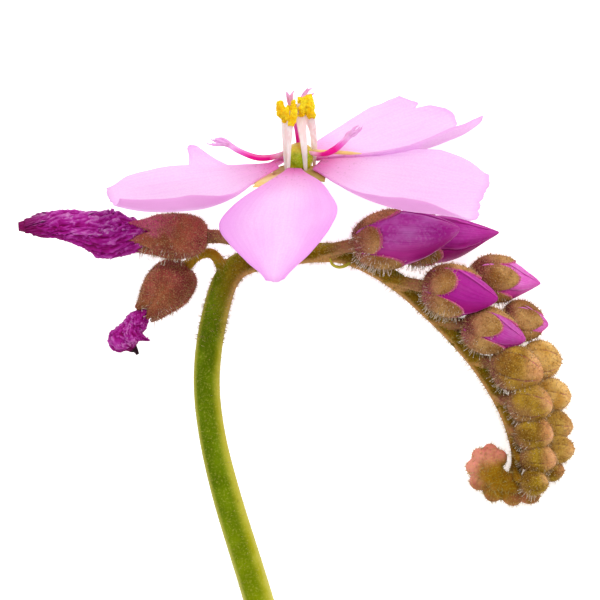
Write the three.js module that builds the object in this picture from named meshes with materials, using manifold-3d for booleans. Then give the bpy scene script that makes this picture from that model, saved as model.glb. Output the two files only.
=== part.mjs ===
// The flowering stalk of a sundew, cut off below its bend and laid on its side on a flat surface.
//
// All lengths are millimetres. The stalk is described as it grew: x to the right, y up the stem and z to the
// front, where its flower faces. At the end one group lays it down, so that the cut end of the stem and the
// tips of the two rear petals touch the surface at z = 0.

import * as THREE from "three";
import { mergeVertices } from "three/addons/utils/BufferGeometryUtils.js";
import Module from "manifold-3d";

const wasm = await Module();
wasm.setup();

// Driving dimensions
const GAP = 0.05; // left between pieces that touch
const LYING_TURN = [10, 6.2]; // degrees about x and then y, from the stem upright to the stem lying
const LYING_PLACE = [0.192, 5.598, 4.9]; // where the growth origin comes to lie
const FLOWER_CENTRE = [-0.17, 7.83, 1.0];
const FLOWER_LEAN = 20; // degrees that the flower leans to the front
const PETAL_THICKNESS = 0.6;
const CALYX_WALL = 0.45;
const SEPALS = 5;

const COLOURS = {
  stem: { color: "#7d8a1f", roughness: 0.6 },
  sepal: { color: "#8c5a3a", roughness: 0.75 },
  greenBud: { color: "#a3863a", roughness: 0.75 },
  petal: { color: "#f6c3fb", roughness: 0.55 },
  furledPetal: { color: "#a8209a", roughness: 0.5 },
  witheredPetal: { color: "#a02a92", roughness: 0.8 },
  ovary: { color: "#9aa51e", roughness: 0.5 },
  style: { color: "#e0349c", roughness: 0.5 },
  filament: { color: "#f3dcd8", roughness: 0.5 },
  anther: { color: "#f2b70c", roughness: 0.8 },
};

const vector = (p) => new THREE.Vector3(...p);
const radians = THREE.MathUtils.degToRad;
const mix = THREE.MathUtils.lerp;

// Solids: three.js geometry to manifold-3d and back -----------------------------------------------

function solidOf(geometry) {
  const bare = geometry.clone();
  bare.deleteAttribute("normal");
  bare.deleteAttribute("uv");
  const merged = mergeVertices(bare);
  const mesh = {
    numProp: 3,
    vertProperties: new Float32Array(merged.attributes.position.array),
    triVerts: new Uint32Array(merged.index.array),
  };
  const solid = new wasm.Manifold(new wasm.Mesh(mesh));
  if (solid.volume() > 0) return solid;
  mesh.triVerts.reverse();
  return new wasm.Manifold(new wasm.Mesh(mesh));
}

function geometryOf(solid) {
  const mesh = solid.getMesh();
  return new THREE.BufferGeometry()
    .setAttribute("position", new THREE.BufferAttribute(mesh.vertProperties, 3))
    .setIndex(new THREE.BufferAttribute(mesh.triVerts, 1));
}

const largestOf = (solid) => solid.decompose().reduce((a, b) => (b.volume() > a.volume() ? b : a));
const joined = (solids) => solids.reduce((whole, solid) => whole.add(solid));

function meshOf(name, solid, look) {
  const geometry = geometryOf(solid);
  geometry.computeVertexNormals();
  const mesh = new THREE.Mesh(geometry, new THREE.MeshStandardMaterial(look));
  mesh.name = name;
  return mesh;
}

function indexedSolid(points, triangles) {
  const geometry = new THREE.BufferGeometry().setFromPoints(points);
  geometry.setIndex(triangles.flat());
  return solidOf(geometry);
}

// A closed body through rings of points, with a fan from each end ring to its own pole.
function loft(rings, firstPole, lastPole) {
  const count = rings[0].length;
  const last = rings.length - 1;
  const lastPoleIndex = 1 + rings.length * count;
  const at = (ring, j) => 1 + ring * count + (j % count);
  const triangles = [];
  for (let j = 0; j < count; j++) {
    triangles.push([0, at(0, j + 1), at(0, j)]);
    for (let i = 0; i < last; i++) {
      triangles.push([at(i, j), at(i, j + 1), at(i + 1, j + 1)]);
      triangles.push([at(i, j), at(i + 1, j + 1), at(i + 1, j)]);
    }
    triangles.push([at(last, j), at(last, j + 1), lastPoleIndex]);
  }
  return indexedSolid([firstPole, ...rings.flat(), lastPole], triangles);
}

// A tapering round stem through a list of [x, y, z, radius].
function stemThrough(knots, steps, sides) {
  const curve = new THREE.CatmullRomCurve3(knots.map((k) => vector(k.slice(0, 3))));
  const radii = new THREE.CatmullRomCurve3(knots.map((k) => new THREE.Vector3(k[3], 0, 0)));
  const frames = curve.computeFrenetFrames(steps);
  const rings = frames.tangents.map((_, i) => {
    const share = curve.getUtoTmapping(i / steps);
    const centre = curve.getPoint(share);
    const radius = radii.getPoint(share).x;
    return Array.from({ length: sides }, (_, j) => {
      const angle = (2 * Math.PI * j) / sides;
      return centre
        .clone()
        .addScaledVector(frames.normals[i], radius * Math.cos(angle))
        .addScaledVector(frames.binormals[i], radius * Math.sin(angle));
    });
  });
  return loft(rings, curve.getPoint(0), curve.getPoint(1));
}

// A blade of even thickness about a surface given by (along, across), with along 0 to 1 and across -1 to 1.
// Both faces are split into triangles alike.
function blade(surface, thickness, alongSteps, acrossSteps) {
  const nudge = 0.01;
  const place = (i, j) => [i / alongSteps, (2 * j) / acrossSteps - 1];
  const faces = [0.5, -0.5].map((side) => {
    const points = [];
    for (let i = 0; i <= alongSteps; i++)
      for (let j = 0; j <= acrossSteps; j++) {
        const [along, across] = place(i, j);
        const low = surface(Math.max(0, along - nudge), across);
        const high = surface(Math.min(1, along + nudge), across);
        const left = surface(along, Math.max(-1, across - nudge));
        const right = surface(along, Math.min(1, across + nudge));
        const normal = high.sub(low).cross(right.sub(left)).normalize();
        points.push(surface(along, across).addScaledVector(normal, side * thickness));
      }
    return points;
  });
  const row = acrossSteps + 1;
  const half = faces[0].length;
  const triangles = [];
  for (let i = 0; i < alongSteps; i++)
    for (let j = 0; j < acrossSteps; j++) {
      const a = i * row + j;
      triangles.push([a, a + 1, a + row + 1], [a, a + row + 1, a + row]);
      triangles.push([half + a, half + a + row + 1, half + a + 1]);
      triangles.push([half + a, half + a + row, half + a + row + 1]);
    }
  const rim = [];
  for (let j = 0; j < acrossSteps; j++) rim.push(j);
  for (let i = 0; i < alongSteps; i++) rim.push(i * row + acrossSteps);
  for (let j = acrossSteps; j > 0; j--) rim.push(alongSteps * row + j);
  for (let i = alongSteps; i > 0; i--) rim.push(i * row);
  rim.forEach((a, k) => {
    const b = rim[(k + 1) % rim.length];
    triangles.push([a, half + b, b], [a, half + a, half + b]);
  });
  return indexedSolid(faces.flat(), triangles);
}

// Buds --------------------------------------------------------------------------------------------

// Share of a bud's greatest half width at a share of its length, with that width at peak.
function swell(share, peak, fullness) {
  return Math.sin(Math.PI * share ** (Math.log(0.5) / Math.log(peak))) ** fullness;
}

// A bud's own frame: its axis from base to tip, with turn 0 facing the front. reach gives the point at a
// share of the length, a turn about the axis and a radius. flat is the bud's width in its row over its depth.
function budFrame(bud) {
  const base = vector(bud.base);
  const axis = vector(bud.tip).sub(base);
  const length = axis.length();
  axis.normalize();
  const side = new THREE.Vector3().crossVectors(axis, new THREE.Vector3(0, 0, 1)).normalize();
  const front = new THREE.Vector3().crossVectors(side, axis);
  const flat = bud.flat ?? 1;
  const reach = (share, turn, radius) =>
    base
      .clone()
      .addScaledVector(axis, length * share)
      .addScaledVector(front, radius * Math.cos(turn))
      .addScaledVector(side, -radius * flat * Math.sin(turn));
  return { length, reach };
}

// A closed body of a bud's outline: radius(share, turn) at each ring.
function budBody(frame, radius, shares, sides) {
  const rings = shares.map((share) =>
    Array.from({ length: sides }, (_, j) => {
      const turn = (2 * Math.PI * j) / sides;
      return frame.reach(share, turn, radius(share, turn));
    }),
  );
  const lastShare = shares[shares.length - 1];
  return loft(rings, frame.reach(shares[0], 0, 0), frame.reach(mix(lastShare, 1, 0.7), 0, 0));
}

// How far a turn is from the middle of its sepal: 0 there and 1 at the seam between two.
function fromSepalMiddle(turn, firstTurn) {
  const pitch = (2 * Math.PI) / SEPALS;
  const shifted = (turn - firstTurn) / pitch;
  return 2 * Math.abs(shifted - Math.round(shifted));
}

const sepalAt = (turn, firstTurn) => {
  const count = Math.round(((turn - firstTurn) * SEPALS) / (2 * Math.PI));
  return ((count % SEPALS) + SEPALS) % SEPALS;
};

// The cup of sepals that holds a bud's petals. grow swells it, for cutting its place out of the petals.
function openCalyx(bud, frame, grow) {
  const { notch, sepalTips, peak, fullness } = bud;
  const half = bud.width / 2;
  const first = radians(bud.sepalTurn);
  const slices = 4 * SEPALS;
  const outer = (share) => half * swell(share, peak, fullness) + grow;
  const rimAt = (turn) => {
    const tip = sepalTips[sepalAt(turn, first)];
    const rounding = Math.sqrt(Math.max(0, 1 - fromSepalMiddle(turn, first) ** 2));
    return mix(notch, tip, rounding) + grow / frame.length;
  };
  const ring = (part, inset) =>
    Array.from({ length: slices }, (_, j) => {
      const turn = (2 * Math.PI * j) / slices;
      const share = mix(bud.footShare, rimAt(turn), part);
      return frame.reach(share + inset.lift, turn, Math.max(0.06, outer(share) - inset.wall));
    });
  const wall = CALYX_WALL + 2 * grow;
  const outside = [0, 0.2, 0.5, 0.8, 1].map((part) => ring(part, { wall: 0, lift: 0 }));
  const inside = [1, 0.6].map((part) => ring(part, { wall, lift: 0 }));
  const floorShare = mix(bud.footShare, notch, 0.35);
  const foot = frame.reach(bud.footShare, 0, 0);
  return loft([...outside, ...inside], foot, frame.reach(floorShare, 0, 0));
}

// Petals furled round each other: five overlapping edges that wind towards the tip.
function furledPetals(bud, frame) {
  const half = (bud.width / 2) * 0.985;
  const step = 0.09;
  const winding = 1.1;
  const radius = (share, turn) => {
    const place = ((turn / (2 * Math.PI)) * SEPALS + winding * share) % 1;
    return half * swell(share, bud.peak, bud.fullness) * (1 - step * place * share);
  };
  const body = budBody(frame, radius, [0.16, 0.34, 0.52, 0.7, 0.84, 0.94], 15);
  return largestOf(body.subtract(openCalyx(bud, frame, GAP)));
}

// A bud still closed by its sepals, with a groove along each seam.
function closedCalyx(bud, frame) {
  const half = bud.width / 2;
  const first = radians(bud.sepalTurn);
  const radius = (share, turn) => {
    const seam = fromSepalMiddle(turn, first) ** 4;
    return half * swell(share, bud.peak, bud.fullness) * (1 - 0.07 * seam * Math.sin(Math.PI * share));
  };
  return budBody(frame, radius, [bud.footShare, 0.14, 0.32, 0.52, 0.72, 0.88, 0.96], 3 * SEPALS);
}

const OVAL = { peak: 0.38, fullness: 0.66, footShare: 0.03 };
const ROUND = { peak: 0.47, fullness: 0.55, footShare: 0.03 };

// From the oldest bud down to the youngest. Odd ones stand in the front row of the curl, even ones behind.
// pedicel is where the bud's own little stem leaves the main one.
const BUDS = [
  { ...OVAL, base: [2.9, 3.09, 1.15], tip: [9.12, 4.06, 1.6], width: 3.3, pedicel: [0.95, 2.72, 0.1],
    sepalTurn: 6, notch: 0.14, sepalTips: [0.31, 0.5, 0.46, 0.44, 0.46] },
  { ...OVAL, base: [5.0, 3.2, -1.5], tip: [11.25, 3.94, -2.4], width: 2.9, pedicel: [2.3, 2.6, -0.1],
    sepalTurn: 30, notch: 0.2, sepalTips: [0.42, 0.46, 0.44, 0.42, 0.46] },
  { ...OVAL, base: [6.91, 0.8, 1.1], tip: [11.26, 0.06, 1.8], width: 3.0, pedicel: [5.2, 1.2, 0.1],
    sepalTurn: 20, notch: 0.18, sepalTips: [0.5, 0.75, 0.6, 0.6, 0.62] },
  { ...OVAL, base: [9.6, 1.4, -1.2], tip: [13.49, 0.97, -1.8], width: 2.65, pedicel: [6.6, 0.15, -0.1],
    sepalTurn: 4, notch: 0.3, sepalTips: [0.72, 0.66, 0.66, 0.68, 0.66] },
  { ...OVAL, base: [9.2, -1.37, 0.6], tip: [12.86, -2.29, 1.0], width: 2.65, pedicel: [7.75, -0.95, 0.1],
    sepalTurn: 16, notch: 0.25, sepalTips: [0.66, 0.84, 0.72, 0.74, 0.74] },
  { ...OVAL, base: [11.5, -1.1, -1.2], tip: [14.29, -1.43, -1.6], width: 2.35, pedicel: [8.95, -2.35, -0.1],
    sepalTurn: 10, notch: 0.55, sepalTips: [0.86, 0.88, 0.86, 0.88, 0.86] },
  { ...ROUND, base: [10.8, -3.5, 0.6], tip: [13.85, -4.4, 1.0], width: 2.45, flat: 0.92,
    pedicel: [10.0, -3.35, 0.1], sepalTurn: 36 },
  { ...ROUND, base: [12.6, -3.35, -1.3], tip: [15.03, -3.6, -1.6], width: 2.25,
    pedicel: [10.6, -4.2, -0.1], sepalTurn: 0 },
  { ...ROUND, base: [11.75, -5.7, 0.6], tip: [14.4, -6.1, 0.9], width: 2.2, flat: 0.88,
    pedicel: [11.25, -5.3, 0.05], sepalTurn: 24 },
  { ...ROUND, base: [13.3, -5.3, -1.15], tip: [15.55, -5.66, -1.4], width: 2.0,
    pedicel: [11.55, -6.0, -0.1], sepalTurn: 50 },
  { ...ROUND, base: [12.15, -7.5, 0.5], tip: [14.45, -7.7, 0.7], width: 2.0, flat: 0.86,
    pedicel: [12.0, -7.0, -0.05], sepalTurn: 10 },
  { ...ROUND, base: [13.65, -7.15, -1.05], tip: [15.65, -7.3, -1.25], width: 1.7, flat: 0.92,
    pedicel: [12.2, -7.6, -0.2], sepalTurn: 40 },
  { ...ROUND, base: [12.5, -9.0, 0.4], tip: [14.65, -9.15, 0.6], width: 1.75, flat: 0.86,
    pedicel: [12.37, -8.5, -0.2], sepalTurn: 20 },
  { ...ROUND, base: [13.9, -8.47, -0.55], tip: [15.72, -8.6, -0.65], width: 1.5, flat: 0.95,
    pedicel: [12.4, -8.7, -0.3], sepalTurn: 60 },
  { ...ROUND, base: [12.55, -10.2, 0.65], tip: [14.15, -10.6, 0.75], width: 1.45, flat: 0.9,
    pedicel: [12.35, -9.65, -0.3], sepalTurn: 0 },
  { ...ROUND, base: [13.7, -9.65, -0.9], tip: [15.15, -9.85, -1.0], width: 1.3,
    pedicel: [12.45, -9.3, -0.4], sepalTurn: 30 },
];

// Tiny buds round the coiled end, each [x, y, z, radius]
const COIL_BUDS = [
  [13.05, -11.0, -0.6, 0.68],
  [12.1, -11.1, -0.5, 0.64],
  [11.1, -10.85, -0.45, 0.64],
  [10.35, -10.3, -0.35, 0.6],
  [10.1, -9.6, -0.25, 0.56],
  [10.35, -9.0, -0.15, 0.52],
  [10.9, -8.75, -0.05, 0.5],
  [11.4, -9.05, 0, 0.46],
  [10.95, -9.55, 0.2, 0.5],
  [11.35, -10.2, 0.1, 0.5],
  [12.2, -10.5, 0.05, 0.5],
];

// The stem ----------------------------------------------------------------------------------------

// Centre line and radius, from the cut end up, over the bend and down into the coil
const STEM = [
  [-0.5, -24.0, 0, 0.93],
  [-2.35, -17.1, 0, 0.88],
  [-4.05, -10.9, 0, 0.84],
  [-4.85, -7.7, 0, 0.8],
  [-5.2, -5.1, 0, 0.78],
  [-5.15, -2.9, 0, 0.78],
  [-4.8, -0.6, 0, 0.76],
  [-4.25, 1.1, 0, 0.74],
  [-3.6, 1.9, 0, 0.72],
  [-2.5, 2.3, 0, 0.68],
  [-1.0, 2.5, 0, 0.62],
  [0.7, 2.7, 0, 0.58],
  [2.4, 2.63, 0, 0.56],
  [3.6, 2.17, 0, 0.52],
  [4.87, 1.48, 0, 0.52],
  [6.03, 0.66, 0, 0.52],
  [7.19, -0.41, 0, 0.5],
  [8.3, -1.5, 0, 0.48],
  [9.27, -2.56, 0, 0.46],
  [10.13, -3.62, 0, 0.44],
  [10.88, -4.75, 0, 0.41],
  [11.45, -5.8, -0.05, 0.38],
  [11.93, -6.88, -0.1, 0.36],
  [12.25, -7.95, -0.2, 0.35],
  [12.42, -8.9, -0.3, 0.34],
  [12.35, -9.7, -0.4, 0.34],
  [11.98, -10.3, -0.45, 0.34],
  [11.3, -10.45, -0.45, 0.34],
  [10.8, -10.15, -0.4, 0.32],
  [10.6, -9.7, -0.3, 0.3],
  [10.75, -9.3, -0.2, 0.28],
  [11.05, -9.2, -0.1, 0.24],
];

// A small dried bract curled under the first bud's pedicel
const BRACT = [
  [2.9, 2.2, 0.3, 0.13],
  [2.57, 1.95, 0.4, 0.12],
  [2.17, 1.88, 0.45, 0.11],
  [1.83, 2.05, 0.5, 0.1],
  [1.72, 2.4, 0.5, 0.08],
];

const PEDICEL_RADIUS = 0.36; // of the largest bud's, at the bud

// The little stem of a bud: out of the main one and into line with the bud's axis.
function budPedicel(bud) {
  const base = vector(bud.base);
  const axis = vector(bud.tip).sub(base).normalize();
  const radius = PEDICEL_RADIUS * (bud.width / BUDS[0].width) ** 0.6;
  const end = base.clone().addScaledVector(axis, bud.footShare * base.distanceTo(vector(bud.tip)) - GAP);
  const root = vector(bud.pedicel);
  const lead = end.clone().addScaledVector(axis, -0.25 * root.distanceTo(end));
  const knots = [root, lead, end].map((p, i) => [...p.toArray(), radius * [0.9, 1, 0.95][i]]);
  return stemThrough(knots, 3, 6);
}

// The two withered flowers, their calyces closed again round the fruit
const WITHERED = [
  {
    base: [-5.2, 3.63, 0.8], tip: [-9.9, 3.72, 0.8], width: 2.6, peak: 0.36, fullness: 0.38,
    footShare: 0.02, sepalTurn: 20, mouthShare: 0.86,
    pedicel: [[-2.3, 2.3, 0.1, 0.42], [-3.1, 3.1, 0.6, 0.4], [-4.2, 3.55, 0.8, 0.38]],
    // centre, half height and half depth of the twisted petals, out from the mouth of the calyx
    rope: [
      [-8.7, 3.68, 0.8, 0.48, 0.48],
      [-9.3, 3.67, 0.8, 0.56, 0.56],
      [-9.9, 3.68, 0.8, 0.95, 0.85],
      [-10.9, 3.72, 0.8, 1.24, 1.05],
      [-12.1, 4.05, 0.8, 0.98, 0.9],
      [-13.6, 4.3, 0.75, 0.78, 0.75],
      [-14.9, 4.26, 0.7, 0.58, 0.58],
      [-16.05, 4.18, 0.7, 0.28, 0.3],
    ],
  },
  {
    base: [-6.45, 1.98, -0.9], tip: [-9.25, -1.1, -1.1], width: 2.75, peak: 0.36, fullness: 0.6,
    footShare: 0.02, sepalTurn: 30, mouthShare: 0.86,
    pedicel: [[-4.4, 0.9, 0.0, 0.38], [-4.5, 1.95, -0.2, 0.34], [-5.1, 2.68, -0.6, 0.3],
      [-5.9, 2.5, -0.85, 0.29]],
    rope: [
      [-8.7, -0.5, -1.05, 0.36, 0.36],
      [-9.0, -0.82, -1.06, 0.4, 0.4],
      [-9.35, -1.25, -1.1, 0.6, 0.55],
      [-9.6, -1.65, -1.1, 0.6, 0.5],
      [-9.7, -2.1, -1.1, 1.0, 0.8],
      [-9.75, -2.5, -1.1, 0.95, 0.7],
      [-9.75, -2.95, -1.1, 0.35, 0.35],
    ],
  },
];

function witheredPedicel(flower) {
  const frame = budFrame(flower);
  const end = frame.reach(flower.footShare - GAP / frame.length, 0, 0);
  const lastRadius = flower.pedicel[flower.pedicel.length - 1][3];
  return stemThrough([...flower.pedicel, [...end.toArray(), lastRadius]], 7, 7);
}

// The closed calyx, cut off at its mouth where the petals come out.
function witheredCalyx(flower) {
  const frame = budFrame(flower);
  const half = flower.width / 2;
  const first = radians(flower.sepalTurn);
  const { mouthShare } = flower;
  const radius = (share, turn) => {
    const seam = fromSepalMiddle(turn, first) ** 3;
    return half * swell(share, flower.peak, flower.fullness) * (1 - 0.1 * seam * share);
  };
  const slices = 3 * SEPALS;
  const ring = (share, inset) =>
    Array.from({ length: slices }, (_, j) => {
      const turn = (2 * Math.PI * j) / slices;
      const lobe = 0.12 * (share / mouthShare) ** 6 * (0.5 - fromSepalMiddle(turn, first));
      return frame.reach(share + lobe, turn, radius(share, turn) - inset);
    });
  const outside = [flower.footShare, 0.1, 0.24, 0.42, 0.6, 0.75, mouthShare].map((share) => ring(share, 0));
  const inside = [ring(mouthShare, 0.2), ring(0.68, 0.45)];
  return loft([...outside, ...inside], frame.reach(flower.footShare, 0, 0), frame.reach(0.64, 0, 0));
}

// Withered petals twisted into a rope, with ridges that wind round it.
function witheredPetals(flower) {
  const path = new THREE.CatmullRomCurve3(flower.rope.map((k) => vector(k.slice(0, 3))));
  const sizes = new THREE.CatmullRomCurve3(flower.rope.map((k) => new THREE.Vector3(k[3], k[4], 0)));
  const steps = 13;
  const sides = 12;
  const ridges = 4;
  const frames = path.computeFrenetFrames(steps);
  const frontward = new THREE.Vector3(0, 0, 1);
  const rings = frames.tangents.map((tangent, i) => {
    const share = i / steps;
    const size = sizes.getPoint(share);
    const high = new THREE.Vector3().crossVectors(frontward, tangent).normalize();
    return Array.from({ length: sides }, (_, j) => {
      const angle = (2 * Math.PI * j) / sides;
      const ridge = 1 + 0.13 * Math.sin(ridges * angle + 9 * share) + 0.05 * Math.sin(2 * angle - 21 * share);
      return path
        .getPoint(share)
        .addScaledVector(high, size.x * ridge * Math.cos(angle))
        .addScaledVector(frontward, size.y * ridge * Math.sin(angle));
    });
  });
  return loft(rings, path.getPoint(0), path.getPoint(1));
}

function stalk() {
  const buds = COIL_BUDS.map(([x, y, z, radius]) =>
    solidOf(new THREE.SphereGeometry(radius, 7, 5).rotateX(x * y).translate(x, y, z)),
  );
  return joined([
    stemThrough(STEM, 58, 8),
    ...BUDS.map(budPedicel),
    ...WITHERED.map(witheredPedicel),
    stemThrough(FLOWER_PEDICEL, 8, 8),
    stemThrough(BRACT, 6, 5),
    ...buds,
  ]);
}

// The open flower, in its own frame: y along its axis, x to the right and z to the front ----------

const CUP = { radius: 1.4, top: -0.5, depth: 1.5 }; // depth is from the petals' level down to the pedicel

const FLOWER_PEDICEL = [
  [-1.9, 2.35, 0.0, 0.42],
  [-1.1, 3.7, -0.3, 0.36],
  [-0.35, 5.1, -0.05, 0.34],
  [-0.17, 6.37, 0.47, 0.36],
];

// Azimuth 0 is to the right and 90 to the rear. slope is how steeply a petal rises from its foot and by its
// tip, roll turns it about its length, and near its edges it curls up by curl: all in degrees. The left and
// right halves, as seen from the flower's axis, have widths at even steps from foot to tip. ends is how far
// out the tip comes, from left to right.
const PETAL_FOOT = 1.22; // from the axis
const PETALS = [
  { name: "petal_front", azimuth: 263.5, length: 10.5, slope: [-5, -28], roll: 14,
    ends: [0.99, 1, 1, 0.995, 0.985],
    left: { widths: [0.4, 1.7, 2.5, 3.1, 2.9, 2.0, 0.6], curl: 0 },
    right: { widths: [0.4, 1.4, 2.9, 3.75, 3.0, 1.8, 0.45], curl: 0 } },
  { name: "petal_right", azimuth: 341, length: 10.15, slope: [-9, 2], roll: 15,
    ends: [0.97, 1, 1, 1, 0.99],
    left: { widths: [0.4, 1.35, 2.35, 3.0, 3.2, 3.0, 1.8], curl: 6 },
    right: { widths: [0.4, 1.75, 3.2, 4.0, 4.1, 3.8, 2.8], curl: 100 } },
  { name: "petal_rear_right", azimuth: 41, length: 10.2, slope: [0, 2], roll: 11,
    ends: [0.96, 1, 0.98, 1, 1.01],
    left: { widths: [0.4, 1.6, 2.1, 2.4, 2.8, 3.2, 2.9], curl: 4 },
    right: { widths: [0.4, 1.3, 2.8, 4.0, 4.4, 4.3, 3.6], curl: 105 } },
  { name: "petal_rear_left", azimuth: 122, length: 9.6, slope: [-41, 11], roll: -4,
    ends: [0.98, 1, 1, 1, 0.98],
    left: { widths: [0.4, 1.3, 2.3, 2.8, 2.9, 2.2, 0.8], curl: 10 },
    right: { widths: [0.4, 0.7, 0.9, 1.3, 1.8, 1.8, 0.8], curl: 10 } },
  { name: "petal_left", azimuth: 196, length: 10.1, slope: [-16, -1], roll: -5,
    ends: [1, 1, 1, 1, 0.99],
    left: { widths: [0.4, 1.2, 2.9, 4.0, 4.0, 3.3, 1.5], curl: 100 },
    right: { widths: [0.4, 1.4, 2.3, 2.9, 3.0, 2.5, 1.1], curl: 6 } },
];

// A smooth curve through values at even steps, read at a share of the way.
function valueAt(values, share) {
  const curve = new THREE.SplineCurve(values.map((value) => new THREE.Vector2(value, 0)));
  return curve.getPoint(Math.min(1, Math.max(0, share))).x;
}

// A petal or sepal: the point at a share of its length, along, and across it, from -1 at the right edge to 1
// at the left.
function leafSurface(leaf) {
  const azimuth = radians(leaf.azimuth);
  const outward = new THREE.Vector3(Math.cos(azimuth), 0, -Math.sin(azimuth));
  const sideways = new THREE.Vector3(-Math.sin(azimuth), 0, -Math.cos(azimuth));
  const up = new THREE.Vector3(0, 1, 0);
  const [footSlope, tipSlope] = leaf.slope.map(radians);
  const curlSteps = 8;
  return (along, across) => {
    const reach = along * mix(1, valueAt(leaf.ends, (1 - across) / 2), along ** 3);
    const slope = mix(footSlope, tipSlope, reach);
    const meanSlope = mix(footSlope, tipSlope, reach / 2);
    const lift = up.clone().multiplyScalar(Math.cos(slope)).addScaledVector(outward, -Math.sin(slope));
    const side = across < 0 ? -1 : 1;
    const half = across < 0 ? leaf.right : leaf.left;
    const width = valueAt(half.widths, along);
    const grown = Math.min(1, 1.6 * along);
    const point = outward
      .clone()
      .multiplyScalar(leaf.foot + leaf.length * reach * Math.cos(meanSlope))
      .addScaledVector(up, leaf.length * reach * Math.sin(meanSlope));
    const step = (Math.abs(across) * width) / curlSteps;
    for (let k = 0; k < curlSteps; k++) {
      const place = (Math.abs(across) * (k + 0.5)) / curlSteps;
      const bend = grown * (radians(leaf.roll) * side + radians(half.curl) * place ** 3);
      point.addScaledVector(sideways, side * step * Math.cos(bend));
      point.addScaledVector(lift, step * Math.sin(bend));
    }
    return point;
  };
}

function petalSolid(petal) {
  return blade(leafSurface({ ...petal, foot: PETAL_FOOT }), PETAL_THICKNESS, 9, 8);
}

// The sepals lie under the gaps between the petals.
const FLOWER_SEPALS = {
  places: [[226, -3], [304, -8], [8, -6], [84, -22], [158, -32]], // azimuth and slope of each
  length: 2.9, halfWidth: 0.6, foot: 0.7, level: -0.8, thickness: 0.5,
};

// Five narrow sepals spread under the petals, grown together into a small cup on the pedicel.
function flowerCalyx() {
  const { places, length, halfWidth, foot, level, thickness } = FLOWER_SEPALS;
  const widths = [0.5, 0.85, 1, 0.85, 0.35].map((share) => share * halfWidth);
  const half = { widths, curl: 12 };
  const sepals = places.map(([azimuth, slope]) => {
    const ends = [0.9, 1, 0.9];
    const shape = { azimuth, length, slope: [slope, slope], roll: 0, ends, left: half, right: half, foot };
    const surface = leafSurface(shape);
    return blade((along, across) => surface(along, across).add(vector([0, level, 0])), thickness, 4, 2);
  });
  const profile = [[0, -CUP.depth + GAP], [0.36, -CUP.depth + GAP], [0.8, -1.15], [CUP.radius, -0.8],
    [CUP.radius, CUP.top], [0, CUP.top]];
  const cup = new THREE.LatheGeometry(profile.map((p) => new THREE.Vector2(...p)), 15);
  return joined([solidOf(cup), ...sepals]);
}

const OVARY = { radius: 0.78, height: 1.65, foot: CUP.top + GAP };

function ovary() {
  const { radius, height, foot } = OVARY;
  const knots = [[0, 0], [0.6, 0], [0.95, 0.25], [1, 0.5], [0.86, 0.76], [0.5, 0.94], [0, 1]];
  const profile = knots.map(([r, h]) => new THREE.Vector2(radius * r, foot + height * h));
  return solidOf(new THREE.LatheGeometry(profile, 12));
}

// Three styles, each parted from its foot into two arms that end in a flat spoon.
// An arm is a list of [x, y, z, half width, half thickness].
const STYLES = [
  [
    [[-0.78, 0.62, -0.2, 0.13, 0.12], [-1.5, 0.25, -0.1, 0.14, 0.12], [-2.3, 0.3, 0.1, 0.15, 0.12],
      [-3.3, 0.72, 0.2, 0.15, 0.11], [-4.1, 1.22, 0.3, 0.25, 0.09], [-5.05, 1.35, 0.3, 0.22, 0.08]],
    [[-0.78, 0.62, -0.2, 0.13, 0.12], [-1.45, 0.22, -0.45, 0.14, 0.12], [-2.3, 0.0, -0.8, 0.14, 0.12],
      [-3.2, 0.2, -1.05, 0.15, 0.11], [-3.85, 0.45, -1.2, 0.25, 0.09], [-4.45, 0.6, -1.3, 0.2, 0.08]],
  ],
  [
    [[0.76, 0.62, 0.32, 0.13, 0.12], [1.5, 0.68, 0.35, 0.15, 0.12], [2.1, 0.9, 0.25, 0.17, 0.12],
      [2.65, 1.35, 0.1, 0.18, 0.11], [3.1, 1.75, 0.0, 0.26, 0.09], [3.65, 2.25, 0.0, 0.2, 0.08]],
    [[0.76, 0.62, 0.32, 0.13, 0.12], [1.4, 0.6, 0.15, 0.14, 0.12], [2.0, 0.65, -0.4, 0.15, 0.12],
      [2.55, 0.9, -1.0, 0.16, 0.11], [2.95, 1.2, -1.4, 0.26, 0.09], [3.4, 1.5, -1.7, 0.2, 0.08]],
  ],
  [
    [[0.1, 1.32, -0.35, 0.13, 0.12], [-0.05, 1.9, -0.4, 0.13, 0.11], [-0.2, 2.5, -0.45, 0.13, 0.11],
      [-0.34, 3.2, -0.45, 0.14, 0.1], [-0.42, 3.7, -0.45, 0.2, 0.09], [-0.5, 4.1, -0.45, 0.3, 0.08]],
    [[0.1, 1.32, -0.35, 0.13, 0.12], [0.08, 1.9, -0.5, 0.13, 0.11], [0.1, 2.5, -0.75, 0.13, 0.11],
      [0.2, 3.1, -1.0, 0.14, 0.1], [0.45, 3.7, -1.05, 0.22, 0.09], [0.85, 4.15, -1.0, 0.24, 0.08]],
  ],
];

function styleArm(knots) {
  const path = new THREE.CatmullRomCurve3(knots.map((k) => vector(k.slice(0, 3))));
  const sizes = new THREE.CatmullRomCurve3(knots.map((k) => new THREE.Vector3(k[3], k[4], 0)));
  const steps = 8;
  const sides = 5;
  const across = new THREE.Vector3(0, 0, 1);
  const rings = Array.from({ length: steps + 1 }, (_, i) => {
    const share = i / steps;
    const size = sizes.getPoint(share);
    const tangent = path.getTangent(share);
    const up = new THREE.Vector3().crossVectors(across, tangent).normalize();
    return Array.from({ length: sides }, (_, j) => {
      const angle = (2 * Math.PI * j) / sides;
      return path
        .getPoint(share)
        .addScaledVector(up, size.x * Math.cos(angle))
        .addScaledVector(across, size.y * Math.sin(angle));
    });
  });
  return loft(rings, path.getPoint(0), path.getPoint(1));
}

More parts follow.
